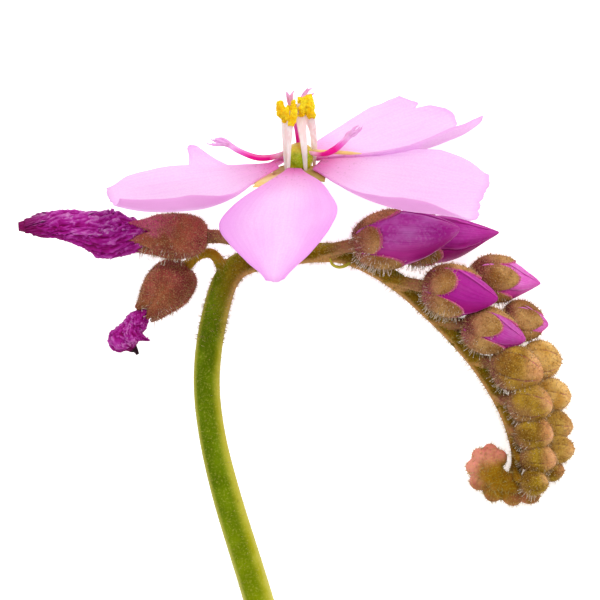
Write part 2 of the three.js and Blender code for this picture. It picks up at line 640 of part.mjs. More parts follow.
// Five stamens round the ovary: foot and middle of the filament, and the middle of the anther on its end
const STAMENS = [
  { foot: [-0.9, 0.45], middle: [-0.88, 1.0, 0.35], anther: [-0.82, 2.98, -0.02] },
  { foot: [-0.55, 0.86], middle: [-0.5, 1.2, 0.85], anther: [-0.3, 3.06, 0.72] },
  { foot: [0.3, 0.97], middle: [0.2, 1.2, 0.75], anther: [0.11, 3.3, 0.18] },
  { foot: [0.98, -0.19], middle: [1.05, 0.8, -0.1], anther: [0.88, 3.42, 0.15] },
  { foot: [0.2, -0.98], middle: [0.5, 1.2, -0.9], anther: [0.48, 3.24, -0.38] },
];
const FILAMENT_RADIUS = 0.125;
const ANTHER = { halfLength: 0.52, lobeRadius: 0.22, apart: 0.18 };

function filament({ foot, middle, anther: [x, y, z] }) {
  const top = [x, y - ANTHER.halfLength - GAP / 2, z];
  const knots = [[foot[0], CUP.top + GAP, foot[1]], middle, top].map((p) => [...p, FILAMENT_RADIUS]);
  return stemThrough(knots, 5, 6);
}

// Two pollen sacs side by side, joined along their length.
function anther(stamen) {
  const { halfLength, lobeRadius, apart } = ANTHER;
  const sacs = [-1, 1].map((side) => {
    const sac = new THREE.SphereGeometry(1, 7, 6).scale(lobeRadius, halfLength, lobeRadius);
    return solidOf(sac.rotateZ(0.1 * side).translate(side * apart, 0, 0));
  });
  return joined(sacs).translate(stamen.anther);
}

// The whole ---------------------------------------------------------------------------------------

const plant = new THREE.Group();
plant.add(meshOf("stalk", stalk(), COLOURS.stem));

BUDS.forEach((bud, i) => {
  const name = "bud_" + String(i + 1).padStart(2, "0");
  const frame = budFrame(bud);
  if (bud.notch) {
    plant.add(meshOf(name + "_calyx", openCalyx(bud, frame, 0), COLOURS.sepal));
    plant.add(meshOf(name + "_petals", furledPetals(bud, frame), COLOURS.furledPetal));
  } else plant.add(meshOf(name + "_calyx", closedCalyx(bud, frame), COLOURS.greenBud));
});

WITHERED.forEach((flower, i) => {
  plant.add(meshOf(`withered_${i + 1}_calyx`, witheredCalyx(flower), COLOURS.sepal));
  plant.add(meshOf(`withered_${i + 1}_petals`, witheredPetals(flower), COLOURS.witheredPetal));
});

const flower = new THREE.Group();
flower.position.set(...FLOWER_CENTRE);
flower.rotation.x = radians(FLOWER_LEAN);
flower.add(meshOf("flower_calyx", flowerCalyx(), COLOURS.sepal));
flower.add(meshOf("flower_ovary", ovary(), COLOURS.ovary));
PETALS.forEach((petal) => flower.add(meshOf(petal.name, petalSolid(petal), COLOURS.petal)));
STYLES.forEach((arms, i) => flower.add(meshOf(`style_${i + 1}`, joined(arms.map(styleArm)), COLOURS.style)));
STAMENS.forEach((stamen, i) => {
  flower.add(meshOf(`filament_${i + 1}`, filament(stamen), COLOURS.filament));
  flower.add(meshOf(`anther_${i + 1}`, anther(stamen), COLOURS.anther));
});
plant.add(flower);

// Laid down: the stem's cut end and the rear petals come to the surface, and what would reach below it is
// pressed flat.
const RESTING = ["stalk", "petal_rear_left", "petal_rear_right"];
plant.rotation.set(...LYING_TURN.map(radians), 0);
plant.position.set(...LYING_PLACE);
const sundewStalk = new THREE.Group();
sundewStalk.add(plant);
sundewStalk.updateMatrixWorld(true);
const belowSurface = new THREE.BoxGeometry(80, 80, 20).translate(0, 0, -10);
for (const name of RESTING) {
  const mesh = sundewStalk.getObjectByName(name);
  const ground = solidOf(belowSurface.clone().applyMatrix4(mesh.matrixWorld.clone().invert()));
  mesh.geometry = geometryOf(solidOf(mesh.geometry).subtract(ground));
}

export default sundewStalk;
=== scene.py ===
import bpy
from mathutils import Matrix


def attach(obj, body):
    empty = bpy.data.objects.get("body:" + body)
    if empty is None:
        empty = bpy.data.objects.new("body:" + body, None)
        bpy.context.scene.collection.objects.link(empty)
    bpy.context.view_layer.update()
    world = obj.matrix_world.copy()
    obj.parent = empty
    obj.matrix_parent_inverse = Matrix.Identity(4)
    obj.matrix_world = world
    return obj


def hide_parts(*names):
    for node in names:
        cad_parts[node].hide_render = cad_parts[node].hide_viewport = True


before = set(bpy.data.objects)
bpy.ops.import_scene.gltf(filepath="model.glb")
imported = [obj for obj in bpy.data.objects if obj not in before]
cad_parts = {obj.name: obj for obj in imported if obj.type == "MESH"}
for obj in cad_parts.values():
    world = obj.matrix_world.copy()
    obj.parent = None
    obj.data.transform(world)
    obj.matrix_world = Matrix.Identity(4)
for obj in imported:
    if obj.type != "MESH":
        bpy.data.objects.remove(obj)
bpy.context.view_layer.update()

import math

import bpy
import numpy as np
from mathutils import Euler, Matrix, Vector, kdtree, noise

# Lengths are millimetres along the stalk as it grew: x right, y up the stem, z to the front.
# layDown turns them into metres in the row frame, where the cut stalk lies on its back.
lying = {"tilt": 10.0, "lean": 6.2, "place": (0.192, 5.598, 4.9)}
millimetre, squareMetre = 0.001, 1e6  # the one in metres, the other in square millimetres
tilt, lean = math.radians(lying["tilt"]), math.radians(lying["lean"])
turnDown = Euler((tilt, 0, 0)).to_matrix() @ Euler((0, lean, 0)).to_matrix()
turnArray, lyingPlace = np.array(turnDown), np.array(lying["place"])


def layDown(points):
    return (np.asarray(points, float) @ turnArray.T + lyingPlace) * millimetre


# Camera, light and floor
view = {"distance": 300.0, "lens": 315.0, "sensor": 36.0, "nearest": 0.01, "furthest": 10}
light = {
    "sky": 0.62, "floorTint": "#fbfbfa", "floorGlow": 0.62, "floorReach": 3.0, "floorLevel": -0.00003,
    "key": {"from": (90, 130, 190), "size": 110, "power": 0.3, "tint": "#fffdf8"},
    "fill": {"from": (-150, 10, 120), "size": 120, "power": 0.07, "tint": "#fbfcff"},
}
scene = bpy.context.scene
target = Vector(lying["place"]) * millimetre


def rgb(tint):
    channels = [int(tint[i:i + 2], 16) / 255 for i in (1, 3, 5)]
    return [c / 12.92 if c <= 0.04045 else ((c + 0.055) / 1.055) ** 2.4 for c in channels] + [1.0]


def linked(name, data):
    made = bpy.data.objects.new(name, data)
    scene.collection.objects.link(made)
    return made


def placeCamera():
    lens = bpy.data.cameras.new("camera")
    lens.lens, lens.sensor_width = view["lens"], view["sensor"]
    lens.clip_start, lens.clip_end = view["nearest"], view["furthest"]
    scene.camera = linked("camera", lens)
    above = target + turnDown @ Vector((0, 0, view["distance"] * millimetre))
    scene.camera.matrix_world = Matrix.Translation(above) @ turnDown.to_4x4()


def placeLights():
    for name in ("key", "fill"):
        lamp = light[name]
        data = bpy.data.lights.new(name, "AREA")
        data.shape, data.size = "DISK", lamp["size"] * millimetre
        data.energy, data.color = lamp["power"], rgb(lamp["tint"])[:3]
        place = target + turnDown @ (Vector(lamp["from"]) * millimetre)
        aim = (target - place).to_track_quat("-Z", "Y").to_matrix().to_4x4()
        linked(name, data).matrix_world = Matrix.Translation(place) @ aim
    sky = bpy.data.worlds.new("sky")
    sky.use_nodes = True
    background = sky.node_tree.nodes["Background"].inputs
    background["Color"].default_value, background["Strength"].default_value = (1, 1, 1, 1), light["sky"]
    scene.world = sky
    scene.view_settings.view_transform = "Standard"


def placeFloor():
    mesh = bpy.data.meshes.new("floor")
    reach = light["floorReach"]
    corners = [(-reach, -reach, 0), (reach, -reach, 0), (reach, reach, 0), (-reach, reach, 0)]
    mesh.from_pydata(corners, [], [(0, 1, 2, 3)])
    material = bpy.data.materials.new("floor")
    material.use_nodes = True
    shader = material.node_tree.nodes["Principled BSDF"].inputs
    shader["Base Color"].default_value, shader["Roughness"].default_value = rgb(light["floorTint"]), 0.9
    shader["Emission Color"].default_value = (1, 1, 1, 1)
    shader["Emission Strength"].default_value = light["floorGlow"]  # a lit table under the stalk
    mesh.materials.append(material)
    floor = linked("floor", mesh)
    floor.location.z = light["floorLevel"]


placeCamera()
placeLights()
placeFloor()
print("camera, light and floor placed")


# Curves and shells
spanSamples = 25  # on a curve between two of its knots
seedShift = 7.31  # how far each seed moves the noise


def smoothPath(knots, count):  # points at even steps of length on a centripetal curve, with their other columns
    knots = np.asarray(knots, float)
    p = np.vstack([2 * knots[0] - knots[1], knots, 2 * knots[-1] - knots[-2]])
    t = np.linspace(0, 1, spanSamples)[:, None]
    fine = []
    for i in range(1, len(p) - 2):
        gaps = [max(np.linalg.norm(p[k + 1, :3] - p[k, :3]), 1e-4) ** 0.5 for k in (i - 1, i, i + 1)]
        steps = [(p[k + 1] - p[k]) / gap for k, gap in zip((i - 1, i, i + 1), gaps)]
        a = (steps[0] - (p[i + 1] - p[i - 1]) / (gaps[0] + gaps[1]) + steps[1]) * gaps[1]
        b = (steps[1] - (p[i + 2] - p[i]) / (gaps[1] + gaps[2]) + steps[2]) * gaps[1]
        square, cube = -3 * p[i] + 3 * p[i + 1] - 2 * a - b, 2 * p[i] - 2 * p[i + 1] + a + b
        piece = p[i] + a * t + square * t ** 2 + cube * t ** 3
        fine.append(piece if i == len(p) - 3 else piece[:-1])
    fine = np.vstack(fine)
    run = np.concatenate([[0], np.cumsum(np.linalg.norm(np.diff(fine[:, :3], axis=0), axis=1))])
    places = np.linspace(0, run[-1], count)
    return np.stack([np.interp(places, run, column) for column in fine.T], axis=1)


def valueAt(values, share):  # a smooth curve through values at even steps
    values = np.asarray(values, float)
    place = unit(share) * (len(values) - 1)
    i = np.minimum(place.astype(int), len(values) - 2)
    t = place - i
    p0, p1, p2, p3 = (values[k] for k in (np.maximum(i - 1, 0), i, i + 1, np.minimum(i + 2, len(values) - 1)))
    a, b = (p2 - p0) / 2, (p3 - p1) / 2
    return p1 + a * t + (3 * (p2 - p1) - 2 * a - b) * t ** 2 + (2 * (p1 - p2) + a + b) * t ** 3


def unit(values):  # kept between 0 and 1
    return np.clip(values, 0, 1)


def hill(distance, width):
    return np.exp(-(distance / width) ** 2)


def roundTurns(count):
    return np.linspace(0, 2 * np.pi, count, endpoint=False)


def lengthOf(vectors):
    return np.linalg.norm(vectors, axis=-1)[..., None]


def framesAlong(path, front):  # side and front at each point of a path
    tangents = np.gradient(path[:, :3], axis=0)
    tangents /= lengthOf(tangents)
    sides = np.cross(tangents, front)
    sides /= lengthOf(sides)
    return sides, np.cross(sides, tangents)


def ringsAbout(centres, side, front, wide, deep):  # wide and deep are the grids of offsets to the side and the front
    return centres[:, None] + side[:, None] * wide[..., None] + front[:, None] * deep[..., None]


def ridged(points, scale, seed, octaves=2):  # smooth random values from -1 to 1 in space
    spots = np.asarray(points, float) * scale + seed * seedShift
    values = [noise.fractal(Vector(s), 1.0, 2.0, octaves) for s in spots.reshape(-1, 3)]
    return np.array(values).reshape(spots.shape[:-1])


def creased(points, seed, sharpness):  # thin ridges, near 1, between wide hollows
    return 1 - np.minimum(1, np.abs(ridged(points, 1.0, seed)) * sharpness)


def quads(rows, columns, wrap):
    i, j = np.meshgrid(np.arange(rows - 1), np.arange(columns if wrap else columns - 1), indexing="ij")
    k = (j + 1) % columns
    return np.stack([i * columns + j, i * columns + k, (i + 1) * columns + k, (i + 1) * columns + j], -1).reshape(-1, 4)


def outward(shell):
    fans = np.array([(f[0], f[k], f[k + 1]) for f in shell["faces"] for k in range(1, len(f) - 1)])
    a, b, c = (shell["points"][fans[:, k]] for k in range(3))
    if np.sum(a * np.cross(b, c)) < 0:
        shell["faces"] = [tuple(reversed(f)) for f in shell["faces"]]
    return shell


# A tube through rings of points, closed by a fan to a pole at each end.
# marks hold a value for each ring point, or what spreads out to that.
def tubeShell(rings, poles=None, **marks):
    rows, columns, _ = rings.shape
    points = rings.reshape(-1, 3)
    first, last = poles or (rings[0].mean(0), rings[-1].mean(0))
    faces = [tuple(f) for f in quads(rows, columns, True)]
    start, base = len(points), (rows - 1) * columns
    for j in range(columns):
        k = (j + 1) % columns
        faces += [(k, j, start), (base + j, base + k, start + 1)]
    values = {}
    for name, grid in marks.items():
        whole = grid if np.ndim(grid) == 3 else np.broadcast_to(grid, (rows, columns))
        flat = whole.reshape(rows * columns, -1)
        values[name] = np.vstack([flat, flat[:columns].mean(0), flat[-columns:].mean(0)])
    return outward({"points": np.vstack([points, first, last]), "faces": faces, "marks": values})


# A closed sheet about a grid of middle points, with its own thickness at each.
def sheetShell(middle, thickness, **marks):
    rows, columns, _ = middle.shape
    normals = np.cross(np.gradient(middle, axis=0), np.gradient(middle, axis=1))
    normals /= np.maximum(lengthOf(normals), 1e-9)
    half = (np.broadcast_to(thickness, (rows, columns)) / 2)[..., None]
    points = np.vstack([(middle + normals * half).reshape(-1, 3), (middle - normals * half).reshape(-1, 3)])
    count = rows * columns
    upper = quads(rows, columns, False)
    faces = [tuple(f) for f in upper] + [tuple(f[::-1] + count) for f in upper]
    rim = [(0, j) for j in range(columns - 1)] + [(i, columns - 1) for i in range(rows - 1)]
    rim += [(rows - 1, j) for j in range(columns - 1, 0, -1)] + [(i, 0) for i in range(rows - 1, 0, -1)]
    order = [i * columns + j for i, j in rim]
    faces += [(b, a, a + count, b + count) for a, b in zip(order, order[1:] + order[:1])]
    values = {name: np.vstack([np.asarray(g, float).reshape(count, -1)] * 2) for name, g in marks.items()}
    return outward({"points": points, "faces": faces, "marks": values})


def merged(shells):
    faces, start = [], 0
    for shell in shells:
        faces += [tuple(v + start for v in f) for f in shell["faces"]]
        start += len(shell["points"])
    marks = {name: np.vstack([s["marks"][name] for s in shells]) for name in shells[0]["marks"]}
    return {"points": np.vstack([s["points"] for s in shells]), "faces": faces, "marks": marks}


def makePiece(name, shell, material, nodes):
    mesh = bpy.data.meshes.new(name)
    mesh.from_pydata(layDown(shell["points"]).tolist(), [], shell["faces"])
    for mark, values in shell["marks"].items():
        if mark == "uv":
            corners = np.empty(len(mesh.loops), int)
            mesh.loops.foreach_get("vertex_index", corners)
            mesh.uv_layers.new(name="along").data.foreach_set("uv", values[corners].ravel())
        else:
            mesh.attributes.new(mark, "FLOAT", "POINT").data.foreach_set("value", values[:, 0].astype(np.float32))
    mesh.polygons.foreach_set("use_smooth", [True] * len(mesh.polygons))
    mesh.materials.append(material)
    mesh.update()
    return settle(linked(name, mesh), nodes)


def settle(piece, nodes):
    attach(piece, "root")
    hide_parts(*([nodes] if isinstance(nodes, str) else nodes))
    return piece


# Node trees: each helper adds to the tree on the bench
bench = {}


def feed(socket, value):
    if isinstance(value, bpy.types.NodeSocket):
        bench["tree"].links.new(value, socket)
    elif value is not None:
        socket.default_value = rgb(value) if str(value).startswith("#") else value


def addNode(kind, inputs=(), **settings):
    node = bench["tree"].nodes.new(kind)
    for name, value in settings.items():
        setattr(node, name, value)
    for name, value in dict(inputs).items():
        feed(node.inputs[name], value)
    return node


def newTree(name, kind, inputs, outputs):
    tree = bench["tree"] = bpy.data.node_groups.new(name, kind)
    for label, socketKind, value in inputs:
        socket = tree.interface.new_socket(label, in_out="INPUT", socket_type="NodeSocket" + socketKind)
        if value is not None:
            socket.default_value = value
    for label, socketKind in outputs:
        tree.interface.new_socket(label, in_out="OUTPUT", socket_type="NodeSocket" + socketKind)
    return tree, addNode("NodeGroupInput").outputs, addNode("NodeGroupOutput").inputs


def mixed(share, first, second):
    return addNode("ShaderNodeMix", {0: share, 6: first, 7: second}, data_type="RGBA").outputs[2]


def ranged(value, low, high, toLow=0.0, toHigh=1.0):
    ends = {"Value": value, "From Min": low, "From Max": high, "To Min": toLow, "To Max": toHigh}
    return addNode("ShaderNodeMapRange", ends, interpolation_type="SMOOTHSTEP").outputs["Result"]


def maths(operation, *values):
    return addNode("ShaderNodeMath", enumerate(values), operation=operation).outputs[0]


def times(first, second):
    return maths("MULTIPLY", first, second)


def plus(first, second):
    return maths("ADD", first, second)


def minus(first, second):
    return maths("SUBTRACT", first, second)


def scaledVector(vector, scale):
    return addNode("ShaderNodeVectorMath", {0: vector, "Scale": scale}, operation="SCALE").outputs[0]


def noiseOf(where, scale, detail=2.0, distortion=0.0):
    settings = {"Vector": where, "Scale": scale, "Detail": detail, "Distortion": distortion}
    return addNode("ShaderNodeTexNoise", settings).outputs["Fac"]


def marksOf(names):
    found = [addNode("ShaderNodeAttribute", attribute_name=name).outputs["Fac"] for name in names.split()]
    return found if len(found) > 1 else found[0]


def coordinates(kind="Object"):
    return addNode("ShaderNodeTexCoord").outputs[kind]


def stretched(where, scale):
    return addNode("ShaderNodeMapping", {"Vector": where, "Scale": scale}).outputs[0]


def ramped(value, *stops):
    ramp = addNode("ShaderNodeValToRGB", {"Fac": value})
    stopsMade = ramp.color_ramp.elements
    for n, (place, tint) in enumerate((stops[0], stops[-1])):
        stopsMade[n].position, stopsMade[n].color = place, rgb(tint)
    for place, tint in stops[1:-1]:
        stopsMade.new(place).color = rgb(tint)
    return ramp.outputs["Color"]


def layered(blotch, colour, *layers):  # each layer is a share and a colour; a pair of colours is mixed by the blotches
    for share, tint in layers:
        colour = mixed(share, colour, mixed(blotch, *tint) if isinstance(tint, tuple) else tint)
    return colour


def skinGroup():  # living skin: small cells that stand up as grain, soft blotches and fine flecks
    tree, start, end = newTree("livingSkin", "ShaderNodeTree",
                               [("Vector", "Vector", None), ("Cells", "Float", 9000.0), ("Blotches", "Float", 900.0)],
                               [("Grain", "Float"), ("Blotch", "Float"), ("Fleck", "Float")])
    where, scale = start["Vector"], start["Cells"]
    cells = addNode("ShaderNodeTexVoronoi", {"Smoothness": 0.4, "Vector": where, "Scale": scale}, feature="SMOOTH_F1")
    feed(end["Grain"], minus(1.0, cells.outputs["Distance"]))
    feed(end["Blotch"], ranged(noiseOf(where, start["Blotches"], 3.0), 0.35, 0.65))
    feed(end["Fleck"], ranged(noiseOf(where, times(scale, 1.4)), 0.48, 0.8))
    return tree


def veinGroup():  # veins from the foot of a petal to its edge, which double on the way out
    tree, start, end = newTree("fanVeins", "ShaderNodeTree",
                               [("UV", "Vector", None), ("Count", "Float", 12.0), ("Wander", "Float", 1.2)],
                               [("Vein", "Float"), ("Streak", "Float")])
    where = start["UV"]
    lines = []
    for often in (0.32, 0.64):
        settings = {"Detail": 1.5, "Detail Scale": 0.7, "Vector": where, "Distortion": start["Wander"],
                    "Scale": times(start["Count"], often)}
        wave = addNode("ShaderNodeTexWave", settings, wave_type="BANDS", bands_direction="X", wave_profile="SIN")
        lines.append(ranged(wave.outputs["Fac"], 0.86, 1.0))
    further = ranged(addNode("ShaderNodeSeparateXYZ", {0: where}).outputs["Y"], 0.3, 0.6)
    feed(end["Vein"], maths("MAXIMUM", lines[0], times(lines[1], further)))
    feed(end["Streak"], noiseOf(stretched(where, (30, 2.2, 1)), 1.0, 3.0))
    return tree


livingSkin, fanVeins = skinGroup(), veinGroup()


def skinOf(cells, blotches):
    settings = {"Vector": coordinates(), "Cells": cells, "Blotches": blotches}
    group = addNode("ShaderNodeGroup", settings, node_tree=livingSkin)
    return [group.outputs[name] for name in ("Grain", "Blotch", "Fleck")]


def veinsOf(where, count, wander):
    group = addNode("ShaderNodeGroup", {"UV": where, "Count": count, "Wander": wander}, node_tree=fanVeins)
    return group.outputs["Vein"], group.outputs["Streak"]


def speckled(colour, dark):  # dark grains, finer than the cells
    return mixed(ranged(noiseOf(coordinates(), 11000.0, 1.0), 0.56, 0.74, 0.0, 0.3), colour, dark)


# The constants go on the shader's own sockets. flesh is the weight, reach and radii of the light inside.
def newMaterial(name, roughness, gloss, flesh=(), more=()):
    material = bpy.data.materials.new(name)
    material.use_nodes = True
    bench["tree"] = material.node_tree
    finish = {"Roughness": roughness, "Specular IOR Level": gloss, **dict(more)}
    finish.update(zip(("Subsurface Weight", "Subsurface Scale", "Subsurface Radius"), flesh))
    for socket, value in finish.items():
        feed(material.node_tree.nodes["Principled BSDF"].inputs[socket], value)
    return material


# through is the share of light on one side of a thin petal that comes out of the other
def coated(material, colour, height, strength, distance, through=0.0):
    nodes = material.node_tree.nodes
    shader = nodes["Principled BSDF"]
    feed(shader.inputs["Base Color"], colour)
    bump = addNode("ShaderNodeBump", {"Strength": strength, "Distance": distance * millimetre, "Height": height})
    feed(shader.inputs["Normal"], bump.outputs["Normal"])
    if through:
        thin = addNode("ShaderNodeBsdfTranslucent", {"Color": colour})
        both = addNode("ShaderNodeMixShader", {0: through, 1: shader.outputs[0], 2: thin.outputs[0]})
        feed(nodes["Material Output"].inputs["Surface"], both.outputs[0])
    return material


print("helpers ready")

# Buds, from the oldest down to the youngest. turn is where the first sepal sits, pedicel where it leaves the stem.
oval = {"peak": 0.38, "fullness": 0.66, "foot": 0.03}
plump = {"peak": 0.47, "fullness": 0.55, "foot": 0.03}
# The defaults end with the strength of the painted sheen on the upper side of the furled petals.
furledDefaults = {"lobeFrom": 0.1, "spans": (72,) * 5, "firstEdge": -95, "point": 0.12, "bloom": 0.4}
openBuds = [{**oval, **furledDefaults, **bud} for bud in (
    {"base": (2.9, 3.09, 1.15), "tip": (9.12, 4.06, 1.6), "width": 3.3, "pedicel": (0.95, 2.72, 0.1), "turn": 6,
     "notch": 0.14, "sepalTips": (0.31, 0.5, 0.46, 0.44, 0.46), "pale": 0.16, "lobeFrom": 0.0,
     "spans": (175, 60, 45, 35, 45), "firstEdge": -78, "crumple": 0.3, "bloom": 1.0},
    {"base": (5.0, 3.2, -1.5), "tip": (11.5, 3.9, -2.45), "width": 2.9, "pedicel": (2.3, 2.6, -0.1), "turn": 30,
     "notch": 0.2, "sepalTips": (0.42, 0.46, 0.44, 0.42, 0.46), "pale": 0.08,
     "spans": (90, 80, 70, 60, 60), "firstEdge": -30, "crumple": 1.3, "point": 0.45, "bloom": 0.2},
    {"base": (6.91, 0.8, 1.1), "tip": (11.26, 0.06, 1.8), "width": 3.0, "pedicel": (5.2, 1.2, 0.1), "turn": 20,
     "notch": 0.18, "sepalTips": (0.5, 0.75, 0.6, 0.6, 0.62), "pale": 0.0,
     "spans": (120, 75, 60, 50, 55), "firstEdge": -62, "crumple": 0.45, "bloom": 0.15},
    {"base": (9.6, 1.4, -1.2), "tip": (13.85, 0.95, -1.8), "width": 2.65, "pedicel": (6.6, 0.15, -0.1), "turn": 4,
     "notch": 0.3, "sepalTips": (0.68, 0.62, 0.62, 0.64, 0.62), "pale": 0.85, "crumple": 0.7, "point": 0.4},
    {"base": (9.2, -1.37, 0.6), "tip": (12.86, -2.29, 1.0), "width": 2.65, "pedicel": (7.75, -0.95, 0.1), "turn": 16,
     "notch": 0.25, "sepalTips": (0.66, 0.84, 0.72, 0.74, 0.74), "pale": 0.26, "crumple": 0.6},
    {"base": (11.5, -1.1, -1.2), "tip": (14.29, -1.43, -1.6), "width": 2.35, "pedicel": (8.95, -2.35, -0.1), "turn": 10,
     "notch": 0.55, "sepalTips": (0.86, 0.88, 0.86, 0.88, 0.86), "pale": 0.7, "crumple": 0.3},
)]
budColumns = ("base", "tip", "width", "flat", "pedicel", "turn", "age", "glow")
closedBuds = [{**plump, **dict(zip(budColumns, row))} for row in (
    ((10.8, -3.5, 0.6), (13.85, -4.4, 1.0), 2.45, 1.04, (10.0, -3.35, 0.1), 8, 1.0, 0.0),
    ((12.6, -3.35, -1.3), (15.03, -3.6, -1.6), 2.25, 1.0, (10.6, -4.2, -0.1), 0, 0.9, 1.0),
    ((11.75, -5.7, 0.6), (14.4, -6.1, 0.9), 2.2, 1.04, (11.25, -5.3, 0.05), 64, 0.6, 0.0),
    ((13.3, -5.3, -1.15), (15.55, -5.66, -1.4), 2.0, 1.0, (11.55, -6.0, -0.1), 50, 0.5, 0.9),
    ((12.15, -7.5, 0.5), (14.45, -7.7, 0.7), 2.0, 1.04, (12.0, -7.0, -0.05), 10, 0.4, 0.0),
    ((13.65, -7.15, -1.05), (15.65, -7.3, -1.25), 1.8, 1.0, (12.2, -7.6, -0.2), 40, 0.35, 0.3),
    ((12.5, -9.0, 0.4), (14.65, -9.15, 0.6), 1.75, 1.04, (12.37, -8.5, -0.2), 20, 0.25, 0.0),
    ((13.9, -8.47, -0.55), (15.72, -8.6, -0.65), 1.6, 1.0, (12.4, -8.7, -0.3), 60, 0.2, 0.4),
    ((12.55, -10.2, 0.65), (14.15, -10.6, 0.75), 1.5, 1.0, (12.35, -9.65, -0.3), 0, 0.15, 0.0),
    ((13.7, -9.65, -0.9), (15.15, -9.85, -1.0), 1.3, 1.0, (12.45, -9.3, -0.4), 30, 0.1, 0.0),
)]
sepalCount = 5
frontWay = np.array([0.0, 0.0, 1.0])


def swell(share, shape):  # share of the greatest half width
    power = math.log(0.5) / math.log(shape["peak"])
    full = np.where(np.asarray(share) < shape["peak"], shape.get("footFullness", shape["fullness"]), shape["fullness"])
    return np.sin(np.pi * np.clip(share, 1e-6, 1) ** power) ** full


class BudFrame:  # reach gives points at shares of the length, turns about the axis and radii; turn 0 faces front
    def __init__(self, bud):
        self.base, self.half, self.flat = np.array(bud["base"], float), bud["width"] / 2, bud.get("flat", 1.0)
        self.axis = np.array(bud["tip"], float) - self.base
        self.length = np.linalg.norm(self.axis)
        self.axis /= self.length
        self.side = np.cross(self.axis, frontWay)
        self.side /= np.linalg.norm(self.side)
        self.front = np.cross(self.side, self.axis)

    def reach(self, share, turn=0, radius=0):
        share, turn, radius = (np.asarray(v, float)[..., None] for v in np.broadcast_arrays(share, turn, radius))
        return (self.base + self.axis * self.length * share + self.front * radius * np.cos(turn)
                - self.side * radius * self.flat * np.sin(turn))


def fromSepalMiddle(turn, first):  # 0 in the middle of a sepal and 1 at a seam
    shifted = (turn - math.radians(first)) * sepalCount / (2 * np.pi)
    return 2 * np.abs(shifted - np.round(shifted))


# The main stem with its pedicels, grown together. Its points are x, y, z and radius.
stem = {
    "voxel": 0.1, "softening": 4, "steps": 260, "sides": 20, "pedicelSteps": 24, "pedicelSides": 14,
    "line": [
        (-0.5, -24.0, 0, 0.93), (-2.38, -17.1, 0, 0.86), (-4.27, -10.9, 0, 0.82), (-5.02, -7.7, 0, 0.77),
        (-5.32, -5.1, 0, 0.76), (-5.22, -2.9, 0, 0.77), (-4.8, -0.6, 0, 0.76), (-4.25, 1.1, 0, 0.74),
        (-3.6, 1.9, 0, 0.72), (-2.5, 2.3, 0, 0.68), (-1.0, 2.5, 0, 0.62), (0.7, 2.7, 0, 0.58),
        (2.4, 2.63, 0, 0.56), (3.6, 2.17, 0, 0.52), (4.87, 1.48, 0, 0.52), (6.03, 0.66, 0, 0.52),
        (7.19, -0.41, 0, 0.5), (8.3, -1.5, 0, 0.48), (9.27, -2.56, 0, 0.46), (10.13, -3.62, 0, 0.44),
        (10.9, -4.75, 0, 0.43), (11.49, -5.8, -0.05, 0.42), (11.98, -6.88, -0.1, 0.41),
        (12.31, -7.95, -0.2, 0.41), (12.47, -8.9, -0.3, 0.39), (12.38, -9.7, -0.4, 0.38),
        (11.98, -10.3, -0.45, 0.34), (11.3, -10.45, -0.45, 0.34), (10.8, -10.15, -0.4, 0.32),
        (10.6, -9.7, -0.3, 0.3), (10.75, -9.3, -0.2, 0.28), (11.05, -9.2, -0.1, 0.24),
    ],
    "flowerPedicel": [(-1.9, 2.35, 0.0, 0.42), (-1.1, 3.7, -0.3, 0.36), (-0.35, 5.1, -0.05, 0.34),
                      (-0.17, 6.37, 0.47, 0.36)],
    "bract": [(2.9, 2.2, 0.3, 0.1), (2.57, 1.95, 0.4, 0.1), (2.17, 1.88, 0.45, 0.09), (1.83, 2.05, 0.5, 0.08),
              (1.72, 2.4, 0.5, 0.05)],
    "pedicelRadius": 0.39, "coilCentre": (11.3, -9.9, -0.2), "coilVoxel": 0.075, "coilSoftening": 2,
    "coilBuds": [
        (13.05, -11.0, -0.6, 0.68), (12.1, -11.1, -0.5, 0.64), (11.1, -10.85, -0.45, 0.64), (10.35, -10.3, -0.35, 0.6),
        (10.1, -9.6, -0.25, 0.56), (10.35, -9.0, -0.15, 0.52), (10.9, -8.75, -0.05, 0.5), (11.4, -9.05, 0, 0.46),
        (10.95, -9.5, 0.1, 0.55), (11.3, -10.15, 0.05, 0.6), (12.1, -10.45, 0.0, 0.6), (10.75, -10.0, 0.0, 0.55),
    ],
    "frontLumps": 5, "lumpRadius": 0.34,
}
